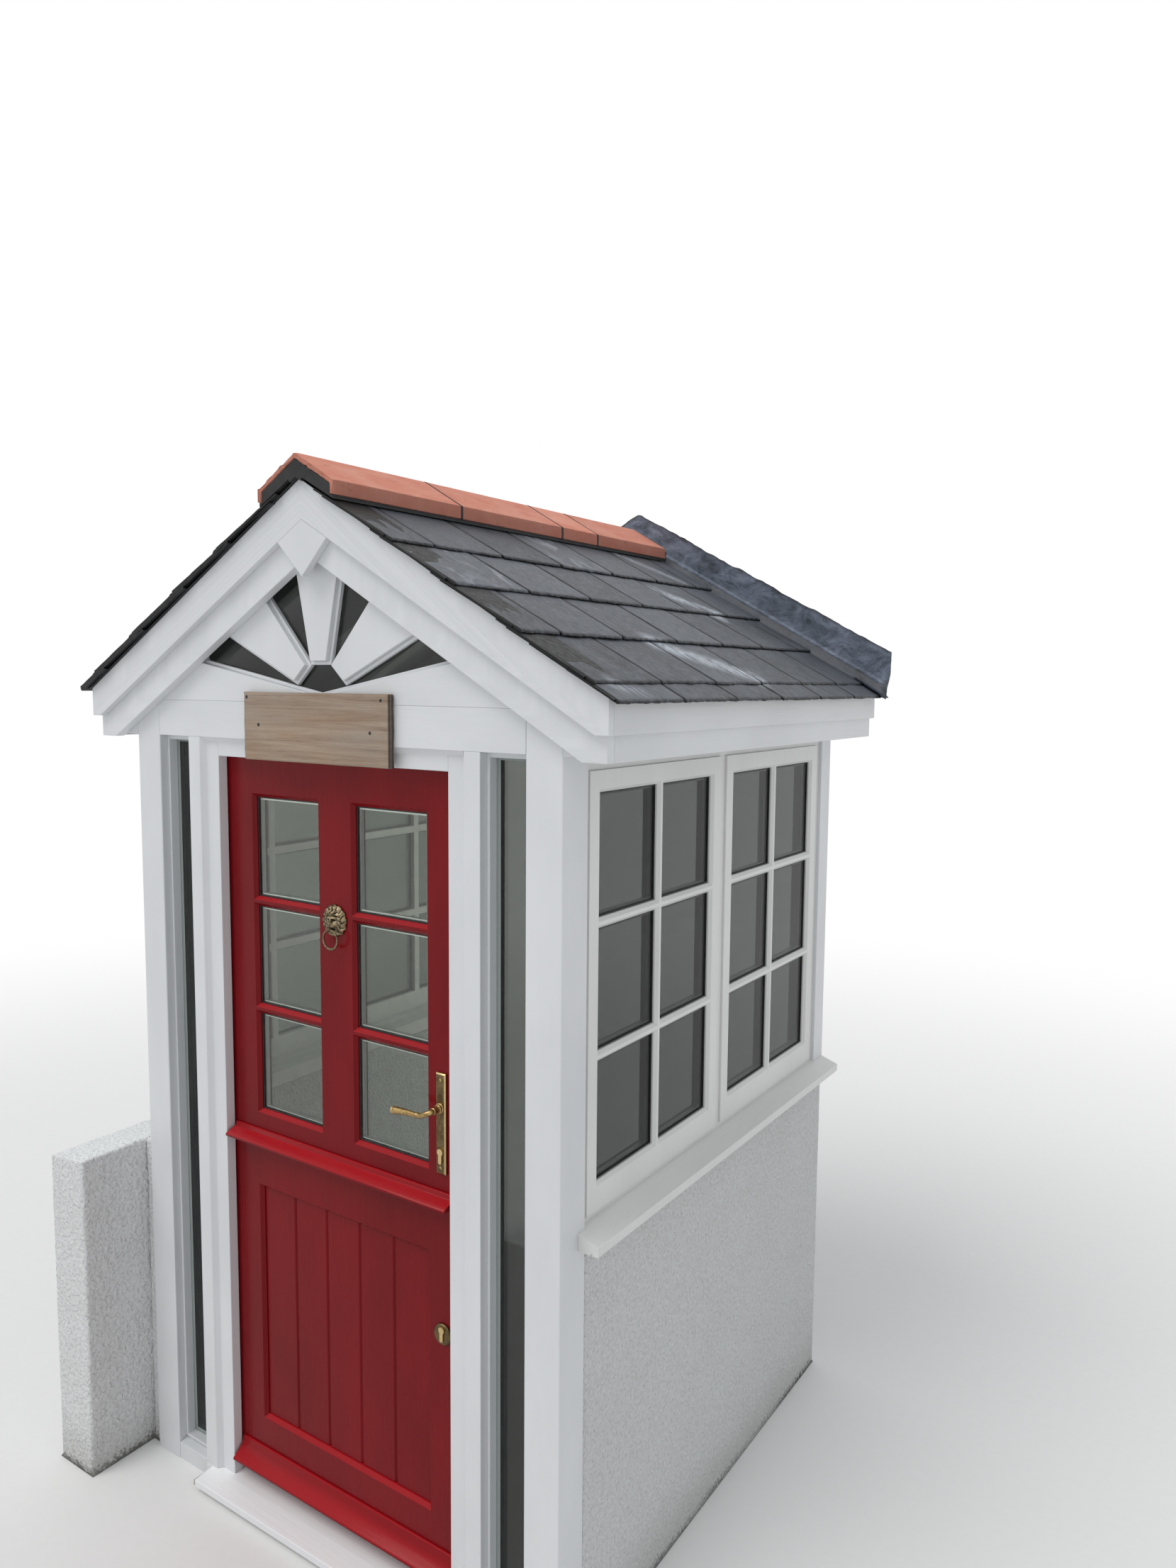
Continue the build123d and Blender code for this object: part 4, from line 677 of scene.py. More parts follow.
def plain(mesh: bmesh.types.BMesh, name: str = "part") -> bpy.types.Mesh:
    """Store an edited mesh as mesh data, and free it."""
    data = bpy.data.meshes.new(name)
    mesh.to_mesh(data)
    mesh.free()
    return data


def outward(mesh: bmesh.types.BMesh) -> None:
    """Turn all faces of a mesh outwards."""
    bmesh.ops.recalc_face_normals(mesh, faces=mesh.faces[:])


def absorb(mesh: bmesh.types.BMesh, data: bpy.types.Mesh) -> None:
    """Add mesh data to an edited mesh, and remove the data."""
    mesh.from_mesh(data)
    bpy.data.meshes.remove(data)


def ease_edges(mesh: bmesh.types.BMesh, arris: float, steps: int = 2, over: float = 28.0) -> None:
    """Round the sharp edges of a mesh.

    Args:
        mesh: the mesh, changed in place.
        arris: width of the rounding.
        steps: faces across it.
        over: edges that turn more than this many degrees are eased.
    """
    sharp = [e for e in mesh.edges if len(e.link_faces) == 2 and e.calc_face_angle(0.0) > math.radians(over)]
    bmesh.ops.bevel(mesh, geom=sharp, offset=arris, segments=steps, profile=0.5, affect="EDGES",
                    clamp_overlap=True)


def separate_solids(mesh: bpy.types.Mesh) -> list[np.ndarray]:
    """Vertex numbers of each separate solid of a mesh.

    Args:
        mesh: a mesh whose corners are joined.

    Returns:
        One array for each solid, in the order of their first vertices.
    """
    owner = list(range(len(mesh.vertices)))

    def root(index: int) -> int:
        """First vertex of the group that a vertex is in so far."""
        while owner[index] != index:
            owner[index] = owner[owner[index]]
            index = owner[index]
        return index

    for edge in mesh.edges:
        first, second = sorted(root(v) for v in edge.vertices)
        owner[second] = first
    groups: dict[int, list[int]] = {}
    for index in range(len(owner)):
        groups.setdefault(root(index), []).append(index)
    return [np.array(groups[key]) for key in sorted(groups)]


def coordinates(mesh: bpy.types.Mesh) -> np.ndarray:
    """All vertex places of a mesh, one row each."""
    flat = np.zeros(len(mesh.vertices) * 3)
    mesh.vertices.foreach_get("co", flat)
    return flat.reshape(-1, 3)


def solids_of(node: str) -> list[np.ndarray]:
    """Vertex places of each separate solid of a node."""
    data = plain(merged_copy(node))
    places = coordinates(data)
    found = [places[members] for members in separate_solids(data)]
    bpy.data.meshes.remove(data)
    return found


def on_edges(places: np.ndarray, low: Vector, high: Vector) -> np.ndarray:
    """1 for each place on an edge of a box, 0 for the others."""
    size, centre = np.array(high - low), np.array((high + low) / 2)
    ends = np.abs(np.abs(places - centre) - size / 2) < 1e-5
    return (ends.sum(axis=1) > 1).astype(float)


def lay_grain(mesh: bpy.types.Mesh, run: Grain, seed: int) -> None:
    """Give each solid of a mesh coordinates along its own grain, and a random tone.

    Args:
        mesh: the mesh to mark.
        run: which way the grain runs.
        seed: picks the shifts and tones.
    """
    places = coordinates(mesh)
    grain = np.zeros_like(places)
    tones = np.zeros(len(places))
    draw = random.Random(seed)
    orders = {Grain.UPRIGHT: (2, 0, 1), Grain.ACROSS: (0, 2, 1), Grain.INWARD: (1, 2, 0)}
    for members in separate_solids(mesh):
        part = places[members]
        if run is Grain.SLOPE:
            square = np.abs(part[:, 0]) * SIN + part[:, 2] * COS
            side = np.sign(part[:, 0]) * SIDE_SHIFT
            local = np.stack([down_slope(part) + side, square, part[:, 1]], axis=1)
        else:
            order = orders.get(run)
            if order is None:
                order = tuple(np.argsort(-np.ptp(part, axis=0)))
            local = part[:, order]
        shift = [draw.uniform(0, FINE_SHIFT) for _ in range(3)]
        grain[members] = local + np.array(shift)
        tones[members] = draw.random()
    mesh.attributes.new("grain", "FLOAT_VECTOR", "POINT").data.foreach_set("vector", grain.ravel())
    mesh.attributes.new("tone", "FLOAT", "POINT").data.foreach_set("value", tones)


def lay_mark(piece: bpy.types.Object, name: str, rule: Callable[[np.ndarray], np.ndarray]) -> None:
    """Give each vertex of a piece a value that its finish reads, such as how broken the edge is.

    Args:
        piece: the piece.
        name: the attribute's name.
        rule: gives the values, from 0 to 1, for the places of one solid.
    """
    places = coordinates(piece.data)
    values = np.zeros(len(places))
    for members in separate_solids(piece.data):
        values[members] = rule(places[members])
    piece.data.attributes.new(name, "FLOAT", "POINT").data.foreach_set("value", values)


def put(name: str, data: bpy.types.ID) -> bpy.types.Object:
    """Add an object to the scene."""
    made = bpy.data.objects.new(name, data)
    bpy.context.scene.collection.objects.link(made)
    return made


def present(name: str, mesh: bpy.types.Mesh | bmesh.types.BMesh, finish: Finish, nodes: Sequence[str] = (),
            run: Grain = Grain.LONGEST, smooth: float | None = None, body: str = PORCH) -> bpy.types.Object:
    """Turn a mesh into a finished piece that rides on a body.

    Args:
        name: the piece's name.
        mesh: its mesh, already in place.
        finish: what it is finished with.
        nodes: the nodes that it stands for, and whose body it moves with.
        run: which way its grain runs.
        smooth: edges under this many degrees are shaded smooth; None keeps every face flat.
        body: the body it moves with when it stands for no node.

    Returns:
        The piece.
    """
    data = plain(mesh, name) if isinstance(mesh, bmesh.types.BMesh) else mesh
    data.materials.clear()
    data.materials.append(finish.material())
    data.polygons.foreach_set("use_smooth", [smooth is not None] * len(data.polygons))
    if smooth is not None:
        data.set_sharp_from_angle(angle=math.radians(smooth))
    data.polygons.foreach_set("material_index", [0] * len(data.polygons))
    lay_grain(data, run, len(name))
    piece = put(name, data)
    body = body_of(nodes[0]) if nodes else body
    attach(piece, body)
    if nodes:
        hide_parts(*nodes)
    LOG.info("%s: %d faces on %s", name, len(data.polygons), body)
    return piece


def block_grid(low: Vector, high: Vector, cell: float) -> bmesh.types.BMesh:
    """Closed box made of small squares.

    Args:
        low: its lowest corner.
        high: its highest corner.
        cell: size of a square.

    Returns:
        A new mesh with outward faces.
    """
    size = high - low
    counts = [max(1, round(size[axis] / cell)) for axis in range(3)]
    mesh = bmesh.new()
    known: dict[tuple[int, ...], bmesh.types.BMVert] = {}
    for axis in range(3):
        across, up = (axis + 1) % 3, (axis + 2) % 3
        for end in (0, counts[axis]):
            for first, second in product(range(counts[across]), range(counts[up])):
                corners = []
                for step_a, step_b in ((0, 0), (1, 0), (1, 1), (0, 1)):
                    key = [0, 0, 0]
                    key[axis], key[across], key[up] = end, first + step_a, second + step_b
                    mark = tuple(key)
                    if mark not in known:
                        place = [low[i] + size[i] * key[i] / counts[i] for i in range(3)]
                        known[mark] = mesh.verts.new(place)
                    corners.append(known[mark])
                if end == 0:
                    corners.reverse()
                mesh.faces.new(corners)
    return mesh


def push_in(mesh: bmesh.types.BMesh, depth: Callable[[np.ndarray, np.ndarray], np.ndarray]) -> None:
    """Move each vertex inwards, against its normal.

    Args:
        mesh: the mesh, changed in place.
        depth: gives how far, from all places and all normals.
    """
    mesh.normal_update()
    places = np.array([v.co for v in mesh.verts])
    normals = np.array([v.normal for v in mesh.verts])
    moved = places - normals * depth(places, normals)[:, None]
    for vert, place in zip(mesh.verts, moved):
        vert.co = place


def skin(mesh: bmesh.types.BMesh, rings: Sequence[Sequence[bmesh.types.BMVert]], closed: bool = True) -> None:
    """Join each ring of vertices to the next with quads.

    Args:
        mesh: where the faces are added.
        rings: the rings, one as long as the other.
        closed: True where the end of a ring meets its start.
    """
    for first, second in zip(rings, rings[1:]):
        for step in range(len(first) if closed else len(first) - 1):
            after = (step + 1) % len(first)
            mesh.faces.new((first[step], first[after], second[after], second[step]))


def tube(mesh: bmesh.types.BMesh, rings: Sequence[Sequence[bmesh.types.BMVert]]) -> None:
    """Join rings of vertices into a closed tube with flat ends."""
    skin(mesh, rings)
    mesh.faces.new(rings[0][::-1])
    mesh.faces.new(rings[-1])


def turned(mesh: bmesh.types.BMesh, profile: Sequence[tuple[float, float]], steps: int,
           origin: Vector = Vector((0, 0, 0)), axis: Vector = Vector((0, 0, 1))) -> None:
    """Add a closed turned shape.

    Args:
        mesh: where it is added.
        profile: distance along the axis and radius, from one end to the other.
        steps: faces round it.
        origin: where the axis starts.
        axis: its direction.
    """
    turn = axis.normalized().to_track_quat("Z", "Y").to_matrix()
    rings = []
    for along, radius in profile:
        ring = []
        for step in range(steps):
            angle = 2 * math.pi * step / steps
            local = Vector((radius * math.cos(angle), radius * math.sin(angle), along))
            ring.append(mesh.verts.new(origin + turn @ local))
        rings.append(ring)
    tube(mesh, rings)


def drawn(mesh: bmesh.types.BMesh, path: Sequence[Vector], radii: Sequence[float], steps: int) -> None:
    """Add a closed round bar of changing thickness along a path.

    Args:
        mesh: where it is added.
        path: the centre line.
        radii: the radius at each point.
        steps: faces round it.
    """
    rings = []
    side = Vector((0, 0, 1))
    for index, (point, radius) in enumerate(zip(path, radii)):
        before = path[max(index - 1, 0)]
        after = path[min(index + 1, len(path) - 1)]
        ahead = (after - before).normalized()
        side = (side - ahead * side.dot(ahead)).normalized()
        other = ahead.cross(side)
        ring = []
        for step in range(steps):
            angle = 2 * math.pi * step / steps
            ring.append(mesh.verts.new(point + (side * math.cos(angle) + other * math.sin(angle)) * radius))
        rings.append(ring)
    tube(mesh, rings)


def smooth_path(points: Sequence[Vector], steps: int) -> list[Vector]:
    """Points of a smooth curve through the given ones.

    Args:
        points: the places that the curve passes.
        steps: points between each two of them.

    Returns:
        The curve's points, ends included.
    """
    padded = [points[0] * 2 - points[1], *points, points[-1] * 2 - points[-2]]
    found = []
    for index in range(1, len(padded) - 2):
        a, b, c, d = padded[index - 1:index + 3]
        for step in range(steps):
            t = step / steps
            found.append(0.5 * (2 * b + (c - a) * t + (2 * a - 5 * b + 4 * c - d) * t ** 2
                                + (3 * b - a - 3 * c + d) * t ** 3))
    found.append(points[-1])
    return found


# Geometry Nodes
class Recipe(Nodes):
    """A Geometry Nodes tree with named inputs."""

    def __init__(self, name: str) -> None:
        """Start an empty tree."""
        super().__init__(bpy.data.node_groups.new(name, "GeometryNodeTree"))
        self.entry = self.node("NodeGroupInput")
        self.exit = self.node("NodeGroupOutput")
        self.tree.interface.new_socket("Geometry", in_out="OUTPUT", socket_type="NodeSocketGeometry")
        self.geometry, = self.take("Geometry", "Geometry")

    def take(self, kind: str, *names: str) -> list[bpy.types.NodeSocket]:
        """Add inputs of one kind, by their names, and return their sockets."""
        for name in names:
            self.tree.interface.new_socket(name, in_out="INPUT", socket_type=f"NodeSocket{kind}")
        return [self.entry.outputs[name] for name in names]

    def vector(self, x: object, y: object, z: object) -> bpy.types.NodeSocket:
        """A vector of three values."""
        return self.node("ShaderNodeCombineXYZ", {0: x, 1: y, 2: z}).outputs[0]

    def chance(self, low: float, high: float, seed: bpy.types.NodeSocket) -> bpy.types.NodeSocket:
        """A random value for each point."""
        inputs = {2: low, 3: high, "Seed": seed}
        return self.node("FunctionNodeRandomValue", inputs, data_type="FLOAT").outputs[1]

    def close(self, geometry: bpy.types.NodeSocket, material: bpy.types.NodeSocket) -> None:
        """End the tree: make instances real and give them their material."""
        real = self.node("GeometryNodeRealizeInstances", {"Geometry": geometry}).outputs[0]
        dressed = self.node("GeometryNodeSetMaterial", {"Geometry": real, "Material": material}).outputs[0]
        self.tree.links.new(dressed, self.exit.inputs[0])


def grow(recipe: Recipe, values: dict[str, object], carrier: bpy.types.Mesh | None = None) -> bpy.types.Mesh:
    """Run a tree once and keep its result as a plain mesh.

    Args:
        recipe: the tree.
        values: its inputs, by name.
        carrier: the mesh that the tree starts from, if it needs one.

    Returns:
        The resulting mesh.
    """
    holder = put("holder", carrier or bpy.data.meshes.new("holder"))
    modifier = holder.modifiers.new("recipe", "NODES")
    modifier.node_group = recipe.tree
    for item in recipe.tree.interface.items_tree:
        if item.item_type == "SOCKET" and item.in_out == "INPUT" and item.name in values:
            modifier[item.identifier] = values[item.name]
    ready = holder.evaluated_get(bpy.context.evaluated_depsgraph_get())
    mesh = bpy.data.meshes.new_from_object(ready)
    holder.modifiers.remove(modifier)
    bpy.data.objects.remove(holder)
    return mesh


def fixings_recipe() -> Recipe:
    """Tree that puts one small part, such as a screw, on each point, turned to face as marked."""
    recipe = Recipe("fixings")
    part, = recipe.take("Object", "Part")
    material, = recipe.take("Material", "Material")
    seed, = recipe.take("Int", "Seed")
    facing = recipe.node("GeometryNodeInputNamedAttribute", {"Name": "facing"}, data_type="FLOAT_VECTOR")
    turn = recipe.node("FunctionNodeAlignRotationToVector", {"Vector": facing.outputs[0]}, axis="Z")
    shape = recipe.node("GeometryNodeObjectInfo", {"Object": part}).outputs["Geometry"]
    inputs = {"Points": recipe.geometry, "Instance": shape, "Rotation": turn.outputs[0]}
    placed = recipe.node("GeometryNodeInstanceOnPoints", inputs).outputs[0]
    spin = recipe.vector(0.0, 0.0, recipe.chance(0.0, math.pi, seed))
    placed = recipe.node("GeometryNodeRotateInstances", {"Instances": placed, "Rotation": spin}).outputs[0]
    recipe.close(placed, material)
    return recipe


def fix_parts(part: bmesh.types.BMesh, places: Sequence[tuple[Vector, Vector]], finish: Finish,
              recipe: Recipe) -> bpy.types.Mesh:
    """Put copies of one small part at marked places.

    Args:
        part: the small part, facing +Z at the origin.
        places: where each stands and which way it faces.
        finish: its finish.
        recipe: the tree of fixings_recipe.

    Returns:
        One mesh of all the copies.
    """
    model = bpy.data.objects.new("part", plain(part))
    carrier = bpy.data.meshes.new("places")
    carrier.from_pydata([tuple(place) for place, _ in places], [], [])
    marks = carrier.attributes.new("facing", "FLOAT_VECTOR", "POINT")
    marks.data.foreach_set("vector", [value for _, facing in places for value in facing])
    mesh = grow(recipe, {"Part": model, "Material": finish.material(), "Seed": 4}, carrier)
    bpy.data.objects.remove(model)
    return mesh


# Studio
@dataclass(frozen=True)
class Viewpoint:
    """The photograph's camera: its frame in pixels, and where it stood and looked."""

    frame_height: float = 2212.0
    focal_pixels: float = 1546.85
    sensor: float = 36.0
    place: tuple[float, float, float] = (2.0271, -1.8549, 2.2782)
    turned_left: float = 33.7131
    tilted_down: float = 5.3541
    rolled: float = 0.4744

    def build(self) -> None:
        """Make the camera and use it."""
        left, down, roll = (math.radians(a) for a in (self.turned_left, self.tilted_down, self.rolled))
        ahead = Vector((-math.sin(left) * math.cos(down), math.cos(left) * math.cos(down), -math.sin(down)))
        level = Vector((math.cos(left), math.sin(left), 0.0))
        upright = level.cross(ahead)
        right = level * math.cos(roll) + upright * math.sin(roll)
        up = upright * math.cos(roll) - level * math.sin(roll)
        camera = bpy.data.cameras.new("camera")
        camera.sensor_fit = "AUTO"
        camera.sensor_width = self.sensor
        camera.lens = self.focal_pixels / self.frame_height * self.sensor
        camera.clip_start = 0.05
        camera.clip_end = 200.0
        holder = put("camera", camera)
        turn = Matrix((right, up, -ahead)).transposed().to_4x4()
        holder.matrix_world = Matrix.Translation(self.place) @ turn
        bpy.context.scene.camera = holder


@dataclass(frozen=True)
class Studio:
    """Pale floor, soft overcast light and a white background."""

    sky: float = 0.69
    sky_tint: Colour = (0.965, 0.98, 1.0)
    sun: float = 1.06
    sun_tint: Colour = (1.0, 0.985, 0.96)
    sun_softness: float = 32.0
    sun_from: tuple[float, float, float] = (-0.55, -1.25, 2.1)
    floor_radius: float = 60.0
    clear_radius: float = 3.2
    fade_radius: float = 8.0
    floor_colours: tuple[Colour, Colour] = ((0.80, 0.80, 0.795), (0.84, 0.84, 0.835))

    def seen_directly(self, nodes: Nodes) -> bpy.types.NodeSocket:
        """Value that is 1 where the camera, a reflection or a pane looks straight at something."""
        rays = nodes.node("ShaderNodeLightPath").outputs
        seen = nodes.sum("MAXIMUM", rays["Is Camera Ray"], rays["Is Glossy Ray"])
        return nodes.sum("MAXIMUM", seen, rays["Is Transmission Ray"])

    def build(self) -> None:
        """Make world, lamp, floor and colour settings."""
        scene = bpy.context.scene
        scene.view_settings.view_transform = "Standard"
        scene.world = bpy.data.worlds.new("overcast")
        scene.world.use_nodes = True
        nodes = Nodes(scene.world.node_tree)
        light = nodes.tree.nodes["Background"]
        light.inputs["Color"].default_value = (*self.sky_tint, 1.0)
        light.inputs["Strength"].default_value = self.sky
        plain_white = nodes.node("ShaderNodeBackground", {"Color": (1.0, 1.0, 1.0, 1.0), "Strength": 1.0})
        choice = nodes.node("ShaderNodeMixShader", {0: self.seen_directly(nodes), 1: light.outputs[0],
                                                    2: plain_white.outputs[0]})
        nodes.tree.links.new(choice.outputs[0], nodes.tree.nodes["World Output"].inputs["Surface"])

        lamp = bpy.data.lights.new("soft_sun", "SUN")
        lamp.energy = self.sun
        lamp.angle = math.radians(self.sun_softness)
        lamp.color = self.sun_tint
        holder = put("soft_sun", lamp)
        holder.matrix_world = Vector(self.sun_from).to_track_quat("Z", "Y").to_matrix().to_4x4()
        self.build_floor()

    def build_floor(self) -> None:
        """Round pale floor that fades to the background with distance."""
        mesh = bmesh.new()
        bmesh.ops.create_circle(mesh, cap_ends=True, segments=96, radius=self.floor_radius)
        floor = put("floor", plain(mesh, "floor"))
        shader = Shader("pale_floor")
        speckle = shader.noise(40.0, 4.0, 0.6, own=False)
        shader.set(Base_Color=shader.blend(speckle, *self.floor_colours), Roughness=0.9)
        places = shader.node("ShaderNodeTexCoord").outputs["Object"]
        reach = shader.node("ShaderNodeVectorMath", {0: places}, operation="LENGTH").outputs["Value"]
        fade = {"Value": reach, "From Min": self.clear_radius, "From Max": self.fade_radius}
        far = shader.node("ShaderNodeMapRange", fade, interpolation_type="SMOOTHSTEP").outputs["Result"]
        glow = shader.node("ShaderNodeEmission", {"Strength": 1.0})
        share = shader.times(far, self.seen_directly(shader))
        parts = {0: share, 1: shader.surface.outputs[0], 2: glow.outputs[0]}
        choice = shader.node("ShaderNodeMixShader", parts)
        shader.tree.links.new(choice.outputs[0], shader.tree.nodes["Material Output"].inputs["Surface"])
        floor.data.materials.append(shader.material)


# The porch's own sub-assemblies
@dataclass
class Joinery:
    """Planed and painted timber, each solid with its edges eased."""

    # how wide the edges of posts and boards are eased, and those of windows and doors
    arris: float = 0.0016
    fine_arris: float = 0.0009
    timber: dict[str, Grain] = field(default_factory=lambda: {
        "door_sill": Grain.ACROSS,
        "corner_posts": Grain.UPRIGHT,
        "rear_posts": Grain.UPRIGHT,
        "front_lintel": Grain.ACROSS,
        "wall_plates": Grain.INWARD,
        "door_jambs": Grain.UPRIGHT,
        "door_head": Grain.ACROSS,
        "sidelight_frames": Grain.UPRIGHT,
        "gable_board": Grain.ACROSS,
        "sunburst_rays": Grain.UPRIGHT,
        "outer_bargeboards": Grain.SLOPE,
        "inner_bargeboards": Grain.SLOPE,
        "apex_block": Grain.UPRIGHT,
        "upper_fascias": Grain.INWARD,
        "lower_fascias": Grain.INWARD,
        "soffits": Grain.INWARD,
    })
    windows: dict[str, Grain] = field(default_factory=lambda: {
        "window_frames": Grain.UPRIGHT,
        "window_sashes": Grain.UPRIGHT,
        "window_sills": Grain.INWARD,
    })
    doors: dict[str, Grain] = field(default_factory=lambda: {
        "upper_door_leaf": Grain.UPRIGHT,
        "lower_door_leaf": Grain.UPRIGHT,
        "lower_door_panel": Grain.UPRIGHT,
        "upper_weatherbar": Grain.ACROSS,
        "lower_weatherbar": Grain.ACROSS,
    })

    def dress(self, node: str, run: Grain, finish: Finish, arris: float) -> None:
        """Ease one node's edges and paint it.

        Args:
            node: the node's name.
            run: which way its grain runs.
            finish: its paint.
            arris: how wide its edges are eased.
        """
        mesh = merged_copy(node)
        ease_edges(mesh, arris)
        # the sill takes the white paint with painted light
        finish = SILL_WHITE_WITH_PAINTED_LIGHT if node == "door_sill" else finish
        smooth = 40.0 if node.endswith("weatherbar") else None
        present(f"painted_{node}", mesh, finish, [node], run, smooth)

    def build(self) -> None:
        """Dress the frame, the windows and the door."""
        for nodes, finish, arris in ((self.timber, WHITE, self.arris),
                                     (self.windows, WINDOW_WHITE, self.fine_arris),
                                     (self.doors, RED, self.fine_arris)):
            for node, run in nodes.items():
                self.dress(node, run, finish, arris)


@dataclass
class PlainSolids:
    """Nodes whose own shape is right and that only need their finish."""

    finishes: dict[str, Finish] = field(default_factory=lambda: {
        "floor_slab": CONCRETE,
        "ridge_board": INSIDE_WHITE,
        "rafters": INSIDE_WHITE,
        "roof_boards": INSIDE_WHITE,
        "gable_glass": GABLE_GLASS,
        "frame_hinges": STEEL,
        "upper_door_hinges": STEEL,
        "lower_door_hinges": STEEL,
        "ridge_mortar": MORTAR,
        "upper_lock_cylinder": BRASS,
        "lower_lock_cylinder": BRASS,
    })

    def build(self) -> None:
        """Give each node its finish."""
        for node, finish in self.finishes.items():
            data = frame["nodes"][node].data
            data.materials.clear()
            data.materials.append(finish.material())
            LOG.info("%s: finished with %s", node, finish.name)


@dataclass
class SlateBlank:
    """One slate with its lower edge at x = 0, running up the roof along -X, its width along Y."""

    width: float
    thick: float
    length: float = 0.248
    rows: int = 11
    columns: int = 15
    # how far the broken lower edge reaches, its rows in shares of that, and their heights
    chip: float = 0.005
    chip_rows: tuple[float, ...] = (0.0, 0.45, 1.0, 1.8, 3.0)
    broken: tuple[tuple[float, float], ...] = ((0.40, 0.14), (0.66, 0.16), (0.88, 0.11))
    # depths of the relief, of the nicks along the lower edge and of the drop at the sides
    riven: float = 0.00045
    nick: float = 0.0022
    bend: float = 0.0016
    side_wear: tuple[float, float] = (0.0005, 0.0004)
    side_drop: float = 0.0022
    under_cut: float = 0.0015

    def upper_face(self, seed: int) -> np.ndarray:
        """Riven upper face.

        Args:
            seed: picks its breaks.

        Returns:
            Places in rows from the lower edge upwards.
        """
        half, inset = self.width / 2, 0.6 * self.chip
        rows = [-share * self.chip for share in self.chip_rows]
        rows += [-self.length * step / self.rows for step in range(2, self.rows + 1)]
        columns = [half * (step / self.columns - 1) for step in range(1, 2 * self.columns)]
        columns = [-half, inset - half, *columns, half - inset, half]
        places = np.array([(x, y, self.thick) for x in rows for y in columns])
        across, along = places * (0.0, 1.0, 0.0), places * (1.0, 0.0, 0.0)
        riven = lumps(places * (1.0, 1.6, 1.0), 0.06, seed + 3) + 0.5 * lumps(places, 0.022, seed + 4)
        places[:, 2] += self.riven * riven
        torn = lumps(places, 0.006, seed + 9).reshape(len(rows), -1)
        nicks = 0.7 * lumps(across, 0.017, seed + 5) + 0.6 * lumps(across, 0.007, seed + 8)
        near = np.clip(1 + places[:, 0] / (4 * self.chip), 0, 1)
        places[:, 0] -= near * (self.nick * (1 + nicks) + self.bend * lumps(across, 0.07, seed + 6))
        edge = np.abs(np.abs(places[:, 1]) - half) < 1e-6
        least, more = self.side_wear
        wear = least + more * lumps(along, 0.02, seed + 7)
        places[edge, 1] -= np.sign(places[edge, 1]) * wear[edge]
        grid = places.reshape(len(rows), -1, 3)
        for row, (share, rough) in enumerate(self.broken):
            grid[row, :, 2] = self.thick * (share + rough * torn[row])
        grid[:, (0, -1), 2] -= self.side_drop
        return grid

    def build(self, number: int) -> bpy.types.Object:
        """Close the slate with its sides and its flat lower face.

        Args:
            number: picks its breaks.

        Returns:
            An object outside the scene.
        """
        grid = self.upper_face(number * 17)
        deep, wide = grid.shape[:2]
        verts = [tuple(place) for place in grid.reshape(-1, 3)]
        faces = [(i * wide + j, i * wide + j + 1, (i + 1) * wide + j + 1, (i + 1) * wide + j)
                 for i in range(deep - 1) for j in range(wide - 1)]
        rim = [*range(wide), *(i * wide + wide - 1 for i in range(1, deep))]
        rim += [(deep - 1) * wide + j for j in range(wide - 2, -1, -1)]
        rim += [i * wide for i in range(deep - 2, 0, -1)]
        base, count = len(verts), len(rim)
        verts += [(verts[v][0] - (self.under_cut if v < wide else 0.0), verts[v][1], 0.0) for v in rim]
        faces += [(rim[k], base + k, base + (k + 1) % count, rim[(k + 1) % count]) for k in range(count)]
        faces.append(tuple(base + k for k in reversed(range(count))))
        data = bpy.data.meshes.new(f"slate_{number}")
        data.from_pydata(verts, [], faces)
        return bpy.data.objects.new(f"slate_{number}", data)


